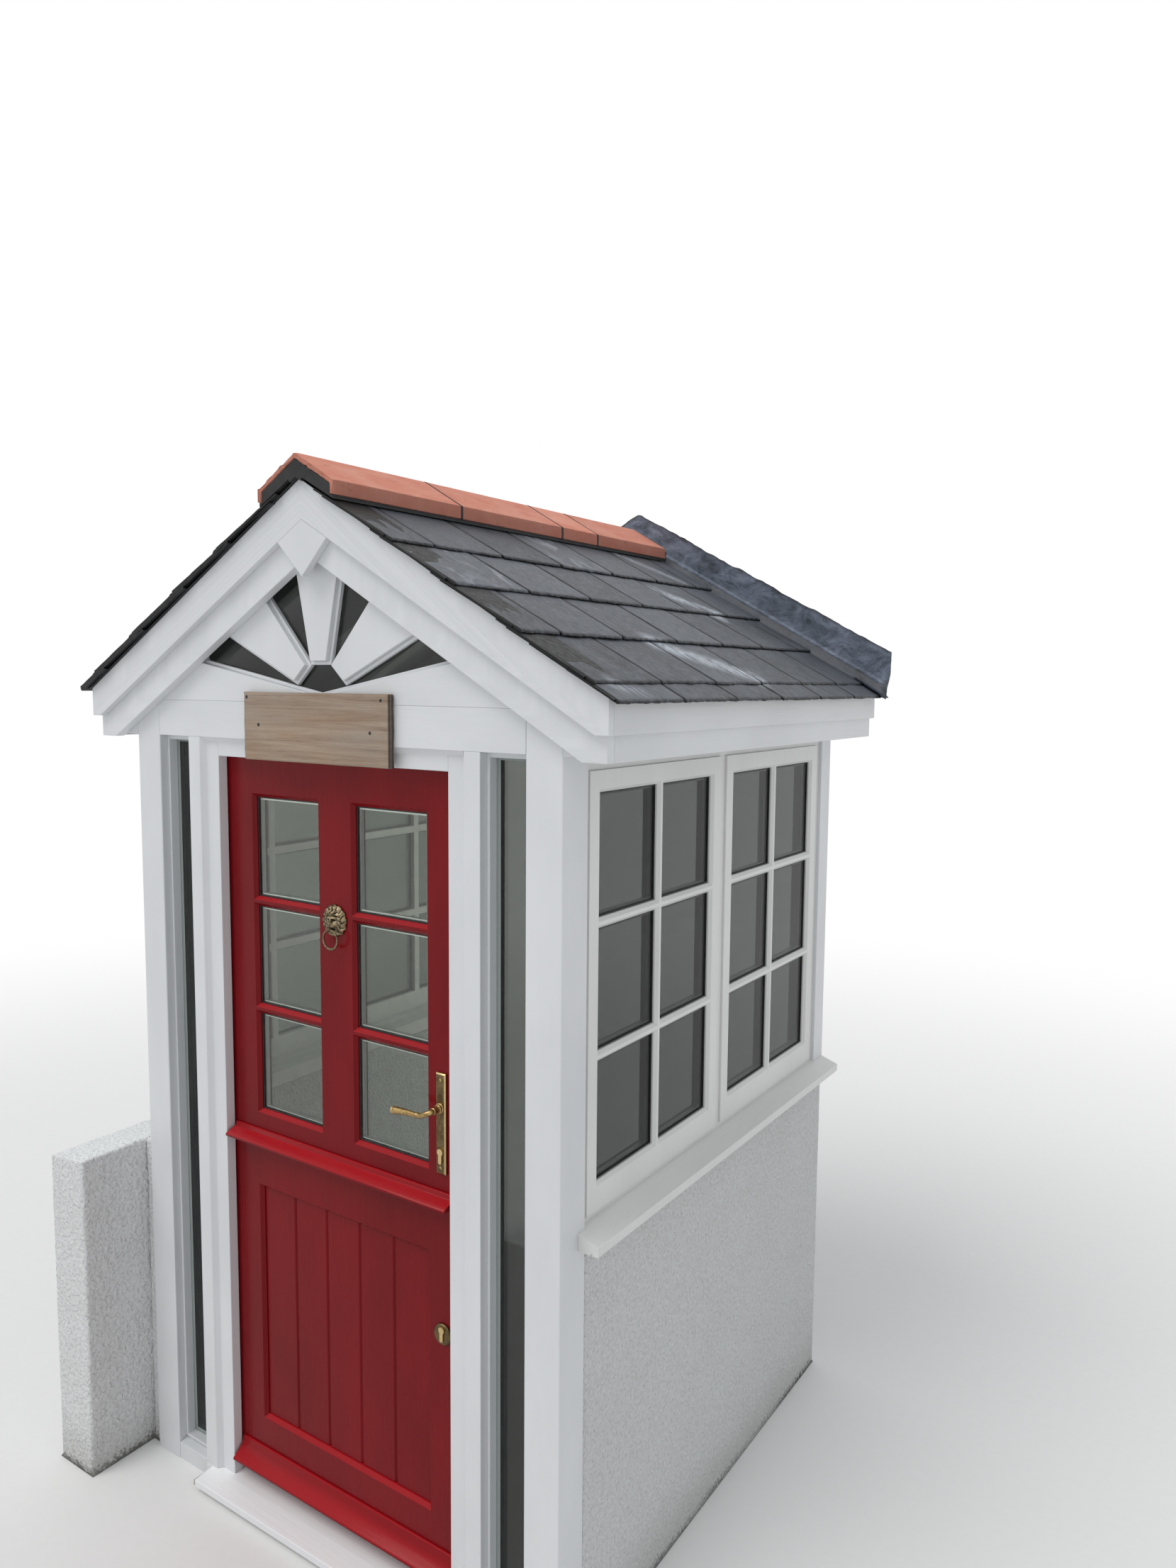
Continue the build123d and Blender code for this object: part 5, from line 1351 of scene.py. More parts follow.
@dataclass
class SlateRoof:
    """Courses of separate slates on both slopes, broken at their lower edges."""

    # the slates: pitch of the joints, width of a joint, thickness, and the different blanks
    width: float = 0.254
    joint: float = 0.0050
    thick: float = 0.0072
    variants: int = 6
    # the courses, measured down the slope from the apex, and along the ridge from the front
    gauge: float = 0.206
    top_edge: float = 0.351
    courses: int = 4
    per_course: int = 8
    eave_show: float = 0.068
    eave_drop: float = 0.0045
    lift: float = 0.0148
    perp: float = 0.144
    verge: float = 0.0655
    set_back: float = 0.0025
    sliver: float = 0.03
    wall: float = 1.484
    tilt_share: float = 1.12
    eave_tilt_share: float = 0.55
    # how unevenly they are laid: slip down the slope, spin and lean in radians, rise of one corner
    slip: float = 0.0016
    spin: float = 0.004
    lean: float = 0.0022
    rise: tuple[float, float] = (-0.0004, 0.0003)
    # the undercloak: its width, thickness, reach above and below its course, distance from the eave
    undercloak: float = 0.115
    cloak_thick: float = 0.0055
    cloak_head: float = 0.072
    cloak_lap: float = 0.045
    cloak_short: float = 0.012
    # the left verge, lifted by its bed
    kick_height: float = 0.0095
    kick_from: float = 0.10
    kick_run: float = 0.42
    kick_reach: float = 0.32
    # finish marks: painted shade on the verge, and lime smears as start, end, half width and strength
    verge_painted_shade: float = 1.3
    smears: tuple = (((0.373, 1.000, 2.544), (0.483, 1.155, 2.483), 0.030, 1.0),
                     ((0.670, 0.468, 2.369), (0.814, 0.722, 2.293), 0.034, 1.0),
                     ((0.129, 1.148, 2.682), (0.280, 1.292, 2.602), 0.020, 0.55),
                     ((0.845, 0.007, 2.270), (0.875, 0.080, 2.255), 0.018, 0.6))
    apex: float = field(default_factory=lambda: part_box("roof_boards")[1].z)

    def recipe(self) -> Recipe:
        """Tree that lays the courses of one slope, bond by bond, cut at the verge and at the back."""
        recipe = Recipe("slate_courses")
        width, gauge, top, perp, verge, wall, lift, apex, shift, side, tilt = recipe.take(
            "Float", "Slate Width", "Gauge", "Top Edge", "First Perp", "Verge", "Wall", "Lift", "Apex",
            "Bond Shift", "Side", "Tilt")
        per_row, rows, seed = recipe.take("Int", "Slates", "Courses", "Seed")
        blanks, = recipe.take("Collection", "Blanks")
        material, = recipe.take("Material", "Material")
        step, add, less, times = recipe.sum, recipe.add, recipe.less, recipe.times
        index = recipe.node("GeometryNodeInputIndex").outputs[0]
        row = step("FLOOR", step("DIVIDE", index, per_row))
        column = less(index, times(row, per_row))
        # along the ridge: a half slate's shift in every other course, and no slivers at the verge
        odd = step("MODULO", add(row, shift), 2.0)
        first = add(verge, add(perp, times(odd, times(width, 0.5))))
        left = add(first, times(less(column, 1.0), width))
        inside = step("GREATER_THAN", left, add(verge, self.sliver))
        start = add(verge, times(inside, less(left, verge)))
        end = step("MINIMUM", add(left, width), wall)
        shown = less(end, start)
        middle = times(add(start, end), 0.5)
        # down the slope
        distance = add(add(top, recipe.chance(-self.slip, self.slip, seed)), times(row, gauge))
        raised = add(lift, recipe.chance(*self.rise, seed))
        out = add(times(distance, COS), times(raised, SIN))
        down = less(times(raised, COS), times(distance, SIN))
        place = recipe.vector(times(out, side), middle, add(apex, down))
        inputs = {"Count": times(per_row, rows), "Position": place}
        points = recipe.node("GeometryNodePoints", inputs).outputs[0]
        store = {"Geometry": points, "Name": "shown", "Value": shown}
        points = recipe.node("GeometryNodeStoreNamedAttribute", store, data_type="FLOAT",
                             domain="POINT").outputs[0]
        kept = recipe.node("GeometryNodeInputNamedAttribute", {"Name": "shown"}, data_type="FLOAT").outputs[0]
        scale = recipe.vector(1.0, step("DIVIDE", kept, width), 1.0)
        # a little flatter than the roof, since each slate lies on the one below
        lean = add(less(PITCH, tilt), recipe.chance(-self.lean, self.lean, seed))
        half_turn = times(less(1.0, side), math.pi / 2)
        turn = recipe.vector(0.0, lean, add(half_turn, recipe.chance(-self.spin, self.spin, seed)))
        inputs = {"Collection": blanks, "Separate Children": True, "Reset Children": True}
        shapes = recipe.node("GeometryNodeCollectionInfo", inputs).outputs[0]
        pick = recipe.node("FunctionNodeRandomValue", {4: 0, 5: self.variants - 1, "Seed": seed},
                           data_type="INT")
        inputs = {"Points": points, "Selection": step("GREATER_THAN", kept, self.sliver),
                  "Instance": shapes, "Pick Instance": True, "Instance Index": pick.outputs[2],
                  "Rotation": turn, "Scale": scale}
        laid = recipe.node("GeometryNodeInstanceOnPoints", inputs).outputs[0]
        recipe.close(laid, material)
        return recipe

    def build(self) -> None:
        """Lay both slopes, the eave course below them and the undercloak along the verge."""
        blanks = bpy.data.collections.new("slate_blanks")
        model = SlateBlank(self.width - self.joint, self.thick)
        for number in range(self.variants):
            blanks.objects.link(model.build(number))
        recipe = self.recipe()
        tilt = self.thick * self.tilt_share / self.gauge
        roof = bmesh.new()
        eave = self.last_edge() + self.eave_show
        shared = {"Slate Width": self.width, "Gauge": self.gauge, "First Perp": self.perp,
                  "Verge": self.set_back - self.verge, "Wall": self.wall, "Apex": self.apex,
                  "Slates": self.per_course, "Blanks": blanks, "Material": SLATE.material()}
        bed = self.lift - self.thick
        main = {"Top Edge": self.top_edge, "Courses": self.courses, "Bond Shift": 0.0, "Lift": bed,
                "Tilt": tilt}
        under = {"Top Edge": eave, "Courses": 1, "Bond Shift": 1.0, "Lift": bed - self.eave_drop,
                 "Tilt": tilt * self.eave_tilt_share}
        for side, seed in ((1.0, 11), (-1.0, 23)):
            for values, more in ((main, 0), (under, 5)):
                mesh = grow(recipe, shared | values | {"Side": side, "Seed": seed + more})
                places = coordinates(mesh)
                distance = side * places[:, 0] * COS + (self.apex - places[:, 2]) * SIN
                lifted = self.kick(side, distance, places[:, 1])[:, None]
                places += lifted * (side * SIN, 0.0, COS)
                mesh.vertices.foreach_set("co", places.ravel())
                absorb(roof, mesh)
            self.add_undercloak(roof, side, eave)
            self.add_felt(side, eave)
        outward(roof)
        piece = present("laid_roof_slates", roof, SLATE, ["roof_slates"], Grain.SLOPE, 38.0)
        # rim holds the painted shade along the slates' edges and on the verge
        lay_mark(piece, "rim", self.rim)
        lay_mark(piece, "bloom", self.smear)
        for blank in list(blanks.objects):
            bpy.data.objects.remove(blank)
        bpy.data.collections.remove(blanks)

    def last_edge(self) -> float:
        """Slope distance of the last full course's lower edge."""
        return self.top_edge + (self.courses - 1) * self.gauge

    def on_slope(self, side: float, flat: Vector) -> Vector:
        """Where a place goes that is laid out flat, with x down the slope and z square to it."""
        return Vector((side * (flat.x * COS + flat.z * SIN), flat.y, self.apex - flat.x * SIN + flat.z * COS))

    def add_felt(self, side: float, eave: float) -> None:
        """Black felt on the boards, which closes the joints between the slates.

        Args:
            side: 1 on the right slope, -1 on the left.
            eave: slope distance of the eave.
        """
        low, high = Vector((0.02, 0.012 - self.verge, 0.0001)), Vector((eave - 0.02, self.wall, 0.0005))
        sheet = block_grid(low, high, 0.1)
        for vert in sheet.verts:
            vert.co = self.on_slope(side, vert.co)
        outward(sheet)
        present(f"roof_felt_{'right' if side > 0 else 'left'}", sheet, FELT, (), Grain.SLOPE)

    def surface(self, distance: float) -> float:
        """Height of the slates over the boards at a distance down the slope.

        Args:
            distance: from the apex.

        Returns:
            The height, measured square to the slope.
        """
        last = self.last_edge()
        if distance > last:
            part = (last + self.eave_show - distance) / self.gauge
            return self.lift - self.eave_drop - self.thick * 0.62 * part
        part = ((self.top_edge - distance) % self.gauge) / self.gauge
        return self.lift - self.thick * self.tilt_share * part

    def smear(self, places: np.ndarray) -> np.ndarray:
        """Lime that rain washed down: 1 along each smear's line, 0 away from it."""
        value = np.zeros(len(places))
        for start, end, reach, strength in self.smears:
            start, way = np.array(start), np.array(end) - np.array(start)
            along = np.clip((places - start) @ way / (way @ way), 0, 1)
            off = np.linalg.norm(places - start - along[:, None] * way, axis=1)
            value = np.maximum(value, strength * np.clip(1.6 - off / reach, 0, 1))
        return value

    def kick(self, side: float, distance: np.ndarray, y: np.ndarray) -> np.ndarray:
        """How far the bed of the left verge lifts its slates, square to the slope.

        Args:
            side: 1 on the right slope, -1 on the left.
            distance: distances down the slope.
            y: places along the ridge.

        Returns:
            The lift at each place.
        """
        down = np.clip((distance - self.kick_from) / self.kick_run, 0, 1)
        near = np.clip(1 - (y + self.verge) / self.kick_reach, 0, 1)
        return max(0.0, -side) * self.kick_height * down * near

    def rim(self, places: np.ndarray) -> np.ndarray:
        """Painted shade at the edges: 1 at the lower edge and the two sides of a slate, 0 further in, and the
        most on the verge and its undercloak.
        """
        along, y = down_slope(places), places[:, 1]
        if y.max() < self.undercloak - self.verge + 0.001:
            return np.full(len(places), self.verge_painted_shade)
        lower = 1.5 - (along.max() - along) / (0.0035 + 0.0045 * hills(places, 0.011, 31))
        sides = 1.3 - np.minimum(y - y.min(), y.max() - y) / 0.0038
        at_verge = y < self.set_back - self.verge + 0.006
        return np.where(at_verge, self.verge_painted_shade, np.clip(np.maximum(lower, sides), 0, 1))

    def add_undercloak(self, roof: bmesh.types.BMesh, side: float, eave: float) -> None:
        """Lapped slates laid face down under the verge, one for each course.

        Args:
            roof: where they are added.
            side: 1 on the right slope, -1 on the left.
            eave: slope distance of the eave.
        """
        for number in range(self.courses + 1):
            start = self.top_edge + (number - 1) * self.gauge - self.cloak_head
            end = min(start + self.gauge + self.cloak_lap, eave - self.cloak_short)
            cells = block_grid(Vector((start, 0.0004 - self.verge, 0.0)),
                               Vector((end, self.undercloak - self.verge, self.cloak_thick)), 0.012)
            places = np.array([v.co for v in cells.verts])
            nicks = lumps(places, 0.016, 40 + number + int(side) * 9)
            lifts = self.kick(side, places[:, 0], places[:, 1]) * places[:, 2] / self.cloak_thick
            for vert, nick, lift in zip(cells.verts, nicks, lifts):
                flat = vert.co.copy()
                if flat.y < 0.008 - self.verge:
                    flat.y += 0.0008 + 0.0008 * nick
                    flat.z = min(flat.z, self.cloak_thick - 0.0012)
                flat.z += 0.0006 + lift + self.cloak_thick * (flat.x - start) / self.gauge
                vert.co = self.on_slope(side, flat)
            absorb(roof, plain(cells))


@dataclass
class RidgeTiles:
    """Clay ridge tiles with worn edges and a rough verge end."""

    # cuts across the tiles, closer at the verge, and along them
    arris: float = 0.0022
    slice: float = 0.012
    end_cuts: tuple[float, ...] = (0.0035, 0.008)
    first_cut: float = 0.014
    strip: float = 0.0095
    # depth of the wear, everywhere and at the verge end
    wear: float = 0.0005
    end_wear: float = 0.0042
    end_reach: float = 0.010
    # the joints' mortar: how far below the clay's face, the clay's thickness, and the dents
    sunk: float = 0.0012
    clay: float = 0.013
    dents: float = 0.0008
    # painted shade on the lips, and how dark the broken end is
    lip_painted_shade: float = 0.62
    end_shade: float = 0.85

    def build(self) -> None:
        """Slice the tiles across, ease their edges and wear them."""
        mesh = merged_copy("ridge_tiles")
        ease_edges(mesh, self.arris, 3)
        low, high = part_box("ridge_tiles")
        count = int((high.y - low.y) / self.slice)
        along = [*self.end_cuts, *(self.first_cut + self.slice * n for n in range(count))]
        cuts = [((0, low.y + y, 0), (0, 1, 0)) for y in along]
        cuts += [((self.strip * step, 0, 0), (1, 0, 0)) for step in range(-13, 14)]
        for place, normal in cuts:
            geometry = [*mesh.verts, *mesh.edges, *mesh.faces]
            bmesh.ops.bisect_plane(mesh, geom=geometry, plane_co=place, plane_no=normal)

        def depth(places: np.ndarray, _: np.ndarray) -> np.ndarray:
            """Small dents everywhere and deeper ones at the verge end."""
            near = np.clip(1 - (places[:, 1] - low.y) / self.end_reach, 0, 1)
            broken = near * np.clip(0.5 + lumps(places, 0.010, 6) + 0.5 * lumps(places, 0.004, 7), 0, 1.3)
            return self.wear * hills(places, 0.03, 5) + self.end_wear * broken

        push_in(mesh, depth)
        piece = present("worn_ridge_tiles", mesh, TERRACOTTA, ["ridge_tiles"], Grain.INWARD, 34.0)

        def rim(places: np.ndarray) -> np.ndarray:
            """Lips darkened as painted shade, and a dark broken end over the verge."""
            lip = (np.abs(places[:, 0]) > high.x - self.sunk).astype(float)
            broken = np.clip(1 - (places[:, 1] - low.y) / 0.006, 0, 1)
            return np.maximum(self.lip_painted_shade * lip, self.end_shade * broken)

        lay_mark(piece, "rim", rim)
        self.build_joints()

    def build_joints(self) -> None:
        """Fill the joints between the tiles with mortar, just below the face of the clay."""
        spans = sorted((float(part[:, 1].min()), float(part[:, 1].max()))
                       for part in solids_of("ridge_tiles"))
        low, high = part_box("ridge_tiles")
        tip, rise, foot = high.x - self.sunk, high.z - self.sunk / COS, low.z + self.sunk
        arm, shoulder, crown = rise - tip * SLOPE, rise - 0.5 * tip * SLOPE, self.clay + 0.001
        outer = [(0.0, rise), (0.5 * tip, shoulder), (tip, arm), (tip, foot)]
        inner = [(tip - self.clay, foot), (tip - self.clay, arm - 0.006), (0.5 * tip, shoulder - crown),
                 (0.0, rise - crown)]
        mesh = bmesh.new()
        for (_, start), (end, _) in zip(spans, spans[1:]):
            for side in (1, -1):
                rings = [[mesh.verts.new((side * x, y, z)) for x, z in outer + inner]
                         for y in (start - 0.0012, (start + end) / 2, end + 0.0012)]
                skin(mesh, rings)
                mesh.faces.new(rings[0])
                mesh.faces.new(rings[-1][::-1])
        bmesh.ops.subdivide_edges(mesh, edges=mesh.edges[:], cuts=3, use_grid_fill=True)
        outward(mesh)
        push_in(mesh, lambda places, _: self.dents * hills(places, 0.008, 51))
        present("ridge_joint_mortar", mesh, JOINT_MORTAR, (), Grain.ACROSS, 40.0)


@dataclass
class LeadFlashing:
    """Dressed lead sheet, turned up at the back of the roof and folded out over the slates."""

    # the sheet: thickness, half its length, width of a column, faces down, round and out
    thick: float = 0.0018
    reach: float = 0.9161
    step: float = 0.0095
    rows: int = 8
    bend_steps: int = 6
    lap_steps: int = 5
    # the upstand: its back face, rise over the boards, ragged cut, dip of its top, and tuck
    wall: float = 1.4885
    rise_ridge: float = 0.1165
    rise_eave: float = 0.160
    ragged: tuple[float, float] = (0.0032, 0.0022)
    dip: float = 0.004
    tuck: tuple[float, float] = (0.0035, 0.0025)
    dents: float = 0.0009
    # the fold, over slates that stand this far out: at the ridge, at the eave, and at the hanging ends
    lift: float = 0.0165
    fold_ridge: float = 0.004
    fold_eave: float = 0.026
    end_fold: float = 0.030
    bend: float = 0.014
    end_bend: float = 0.030
    bend_out: float = 0.013
    end_out: float = 0.016
    # the lap on the slates: its width at the ridge tiles, beside them and at the eave, and its lip
    ridge_out: float = 0.026
    inner: float = 0.127
    lap: float = 0.024
    eave_lap: float = 0.036
    least_lap: float = 0.006
    lip: tuple[float, float] = (0.0012, 0.0022)
    # the soaker: where it starts and how long it is, and its width out from the upstand
    soaker_from: float = 0.815
    soaker_run: float = 0.098
    soaker_out: float = 0.048
    slates: SlateRoof = field(default_factory=SlateRoof)

    def top(self, x: float | np.ndarray) -> float | np.ndarray:
        """Height of the top edge, before it is cut ragged."""
        rise = self.rise_ridge + (self.rise_eave - self.rise_ridge) * (abs(x) / self.reach)
        return self.slates.apex - abs(x) * SLOPE + rise

    def wobble(self, x: float, seed: int, size: float) -> float:
        """Random value that changes slowly along the flashing."""
        return float(lumps(np.array([[x, 0.3, 0.0]]), size, seed)[0])

    def profile(self, x: float) -> list[Vector]:
        """Points of one cross-section, from the top edge down and out to the free edge.

        Args:
            x: place along the front.

        Returns:
            The points.
        """
        share = abs(x) / self.reach
        line = self.slates.apex - abs(x) * SLOPE
        foot = line + self.lift / COS + self.fold_ridge + (self.fold_eave - self.fold_ridge) * share
        hang = min(1.0, max(0.0, abs(x) - self.reach + self.end_fold) / self.end_fold)
        high = foot + (self.bend + self.end_bend * hang)
        (coarse, fine), (tuck, more_tuck) = self.ragged, self.tuck
        top = self.top(x) + coarse * self.wobble(x, 8, 0.045) + fine * self.wobble(x, 9, 0.014) - self.dip
        tuck += more_tuck * self.wobble(x, 12, 0.12)
        face = self.wall - self.thick
        points = []
        for part in (row / self.rows for row in range(self.rows + 1)):
            y = face - tuck * part ** 1.6 - self.dents * (1 + self.wobble(x + part, 10, 0.05))
            points.append(Vector((x, y, top + (high - top) * part)))
        bend = Vector((x, points[-1].y, high))
        corner = Vector((x, bend.y - 0.012 * hang, foot + 0.55 * (self.bend + self.end_bend * hang) * hang))
        flat = Vector((x, bend.y - self.bend_out - self.end_out * hang, foot - 0.001))
        for t in ((step + 1) / self.bend_steps for step in range(self.bend_steps)):
            points.append(bend * (1 - t) ** 2 + corner * (2 * t * (1 - t)) + flat * t ** 2)
        out = self.lap + (self.eave_lap - self.lap) * share + 0.003 * self.wobble(x, 13, 0.16)
        out = out if abs(x) >= self.inner else self.ridge_out
        rest = max(out - (face - flat.y), self.least_lap)
        bed = min(self.slates.surface(abs(x) / COS + shift) for shift in (-0.006, 0.0, 0.006))
        edge = line + bed / COS + 0.0008
        for t in ((step + 1) / self.lap_steps for step in range(self.lap_steps)):
            wave = 0.0006 * self.wobble(x + 0.3 * t, 15, 0.05) * math.sin(math.pi * t)
            points.append(Vector((x, flat.y - rest * t, flat.z + (edge - flat.z) * t ** 0.8 + wave)))
        out, down = self.lip
        points.append(Vector((x, points[-1].y - out, points[-1].z - down)))
        return points

    def build(self) -> None:
        """Join the cross-sections into one sheet and thicken it."""
        columns = round(2 * self.reach / self.step)
        spots = [self.reach * (2 * index / columns - 1) for index in range(columns + 1)]
        mesh = bmesh.new()
        table = [[mesh.verts.new(point) for point in self.profile(x)] for x in spots]
        skin(mesh, table, False)
        mesh.normal_update()
        mesh.faces.ensure_lookup_table()
        if mesh.faces[0].normal.y > 0:
            bmesh.ops.reverse_faces(mesh, faces=mesh.faces[:])
        bmesh.ops.solidify(mesh, geom=mesh.faces[:], thickness=self.thick)
        outward(mesh)
        piece = present("dressed_lead_flashing", mesh, LEAD, ["lead_flashing"], Grain.ACROSS, 60.0)

        def rim(places: np.ndarray) -> np.ndarray:
            """Dark pointing along the top edge, and a darker strip where the lead lies on the slates."""
            below = self.top(places[:, 0]) - places[:, 2]
            pointing = np.clip(1 - below / (0.006 + 0.010 * hills(places, 0.02, 19)), 0, 1) ** 0.5
            lying = np.clip((self.wall - 0.014 - places[:, 1]) / 0.005, 0, 1)
            return np.maximum(pointing, 0.7 * lying)

        lay_mark(piece, "rim", rim)
        for side in (1, -1):
            self.build_soaker(side)

    def build_soaker(self, side: int) -> None:
        """Short second sheet under the flashing's eave end, turned down over the last slate.

        Args:
            side: 1 on the right slope, -1 on the left.
        """
        mesh = bmesh.new()
        table = []
        for part in (column / 10 for column in range(11)):
            x = self.soaker_from + self.soaker_run * part
            drop = 0.007 * max(0.0, (x - 0.899) / 0.014) ** 2
            bed = self.slates.apex - x * SLOPE + self.lift / COS + 0.0012 - drop
            outs = [0.006 + (self.soaker_out + 0.010 * part) * step / 5 for step in range(6)]
            row = [(side * x, self.wall - out, bed + 0.0005 * self.wobble(x + out, 17, 0.03)) for out in outs]
            table.append([mesh.verts.new(place) for place in row])
        skin(mesh, table, False)
        bmesh.ops.solidify(mesh, geom=mesh.faces[:], thickness=-self.thick * side)
        outward(mesh)
        present(f"lead_soaker_{'right' if side > 0 else 'left'}", mesh, LEAD, (), Grain.SLOPE, 60.0)


@dataclass
class RenderedWalls:
    """Dwarf walls and wing wall with hand-floated render."""

    # size of the mesh's squares, wear of the edges, depths of the lumps and the long waves
    cell: float = 0.0075
    corner: float = 0.004
    peel: float = 0.0016
    wing_peel: float = 0.0028
    wave: float = 0.0012
    top_calm: float = 0.35

    def block(self, low: Vector, high: Vector, peel: float, seed: int) -> bmesh.types.BMesh:
        """Block with the lumps of its render and rounded corners.

        Args:
            low: its lowest corner.
            high: its highest corner.
            peel: depth of the lumps.
            seed: picks the pattern.

        Returns:
            A new mesh.
        """
        def depth(places: np.ndarray, normals: np.ndarray) -> np.ndarray:
            """Orange-peel lumps, long hand waves and rounded corners; flat on top, none at the foot."""
            grain = 0.65 * hills(places, 0.014, seed + 1) + 0.35 * hills(places, 0.009, seed + 2)
            calm = np.where(normals[:, 2] > 0.8, self.top_calm, 1.0)
            foot = np.where(normals[:, 2] < -0.5, 0.0, 1.0)
            rough = calm * (peel * grain + self.wave * hills(places, 0.16, seed))
            return (rough + self.corner * on_edges(places, low, high)) * foot

        mesh = block_grid(low, high, self.cell)
        push_in(mesh, depth)
        return mesh

    def build(self) -> None:
        """Make the three walls."""
        low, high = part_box("dwarf_walls")
        plate = frame["nodes"]["dwarf_walls"].data
        inner = min(abs(v.co.x) for v in plate.vertices)
        walls = (("right_dwarf_wall", inner, high.x, 3), ("left_dwarf_wall", low.x, -inner, 9))
        for name, x0, x1, seed in walls:
            mesh = self.block(Vector((x0, low.y, low.z)), Vector((x1, high.y, high.z)), self.peel, seed)
            present(name, mesh, WALL_RENDER_WITH_PAINTED_SHADE, ["dwarf_walls"], Grain.UPRIGHT, 180.0)
        self.build_wing()

    def build_wing(self) -> None:
        """Make the wing wall with its sloping top, and the tie behind it."""
        low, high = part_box("left_wing_wall")
        points = [v.co for v in frame["nodes"]["left_wing_wall"].data.vertices]
        face_x = max(p.x for p in points if p.y < low.y + 0.01)
        outer_top = max(p.z for p in points if p.x < low.x + 0.01)
        tie_y = min(p.y for p in points if p.x > face_x + 0.01)
        wing = self.block(Vector(low), Vector((face_x, high.y, high.z)), self.wing_peel, 21)
        fall = high.z - outer_top
        for vert in wing.verts:
            share = (face_x - vert.co.x) / (face_x - low.x)
            vert.co.z -= fall * share * vert.co.z / high.z
        tie = self.block(Vector((face_x - 0.004, tie_y, low.z)), Vector((high.x, high.y, high.z - 0.001)),
                         self.wing_peel, 22)
        absorb(wing, plain(tie))
        present("rendered_wing_wall", wing, WING_RENDER, ["left_wing_wall"], Grain.UPRIGHT, 180.0)


@dataclass
class SealedUnits:
    """Double-glazed units: two sheets, a metal spacer, and gaskets or flat tapes round them."""

    # thickness of a sheet; width of a gasket and how far it stands out; a tape's thickness and width in sight
    sheet: float = 0.004
    gasket: float = 0.0034
    proud: float = 0.0018
    tape: float = 0.0005
    sight: float = 0.0105
    # the spacer's width and its distance from the edge; play round the unit and between its parts
    spacer: float = 0.0065
    inset: float = 0.0015
    slack: float = 0.0003
    gap: float = 0.0002

    def ring(self, mesh: bmesh.types.BMesh, low: Vector, high: Vector, axis: Axis, width: float,
             start: float, end: float) -> None:
        """Add a rectangular ring.

        Args:
            mesh: where it is added.
            low: lowest corner of its outer edge.
            high: highest corner of its outer edge.
            axis: the direction it is thin in.
            width: its width.
            start: where it starts along the axis.
            end: where it ends along the axis.
        """
        a, b = [i for i in range(3) if i != axis.value]
        loops = []
        for level in (start, end):
            for inset in (0.0, width):
                loop = []
                for pick_a, pick_b in ((0, 0), (1, 0), (1, 1), (0, 1)):
                    place = [0.0, 0.0, 0.0]
                    place[axis.value] = level
                    place[a] = high[a] - inset if pick_a else low[a] + inset
                    place[b] = high[b] - inset if pick_b else low[b] + inset
                    loop.append(mesh.verts.new(place))
                loops.append(loop)
        outer_a, inner_a, outer_b, inner_b = loops
        skin(mesh, [outer_a, inner_a, inner_b, outer_b, outer_a])

    def edgewise(self, axis: Axis, size: float) -> Vector:
        """A step of one size in both directions of a pane's face."""
        return Vector([0.0 if i == axis.value else size for i in range(3)])

    def slab(self, mesh: bmesh.types.BMesh, low: Vector, high: Vector, axis: Axis, start: float,
             end: float) -> None:
        """Add one sheet of glass between two levels of the thin direction."""
        a, b = low.copy(), high.copy()
        a[axis.value], b[axis.value] = start, end
        made = bmesh.ops.create_cube(mesh, size=1.0)
        for vert in made["verts"]:
            vert.co = Vector([(a[i] + b[i]) / 2 + vert.co[i] * (b[i] - a[i]) for i in range(3)])

    def build(self, node: str, axis: Axis, finish: Finish, hidden: float = 0.0,
              seal: Finish = GASKET) -> None:
        """Replace a node of glass blocks.

        Args:
            node: the node's name.
            axis: the direction its panes are thin in.
            finish: the glass.
            hidden: how far each block runs in behind its beads, where it has a flat tape for a gasket.
            seal: the gaskets.
        """
        glass, spacers, gaskets = bmesh.new(), bmesh.new(), bmesh.new()
        for part in solids_of(node):
            low, high = Vector(part.min(axis=0)), Vector(part.max(axis=0))
            start, end = low[axis.value], high[axis.value]
            low, high = low + self.edgewise(axis, self.slack), high - self.edgewise(axis, self.slack)
            skin_depth = self.tape + self.gap if hidden else self.gap
            self.slab(glass, low, high, axis, start + skin_depth, start + self.sheet)
            self.slab(glass, low, high, axis, end - self.sheet, end - skin_depth)
            step = self.edgewise(axis, self.inset + hidden)
            self.ring(spacers, low + step, high - step, axis, self.spacer, start + self.sheet + self.gap,
                      end - self.sheet - self.gap)
            if hidden:
                self.ring(gaskets, low, high, axis, self.sight + hidden, start + 0.0001, start + self.tape)
                self.ring(gaskets, low, high, axis, hidden, end - self.tape, end - 0.0001)
            else:
                self.ring(gaskets, low, high, axis, self.gasket, start - self.proud, start)
                self.ring(gaskets, low, high, axis, self.gasket, end, end + self.proud + 0.0001)
        for mesh in (glass, spacers, gaskets):
            outward(mesh)
        present(f"sheets_of_{node}", glass, finish, [node])
        present(f"spacers_of_{node}", spacers, SPACER, body=body_of(node))
        present(f"gaskets_of_{node}", gaskets, seal, body=body_of(node))


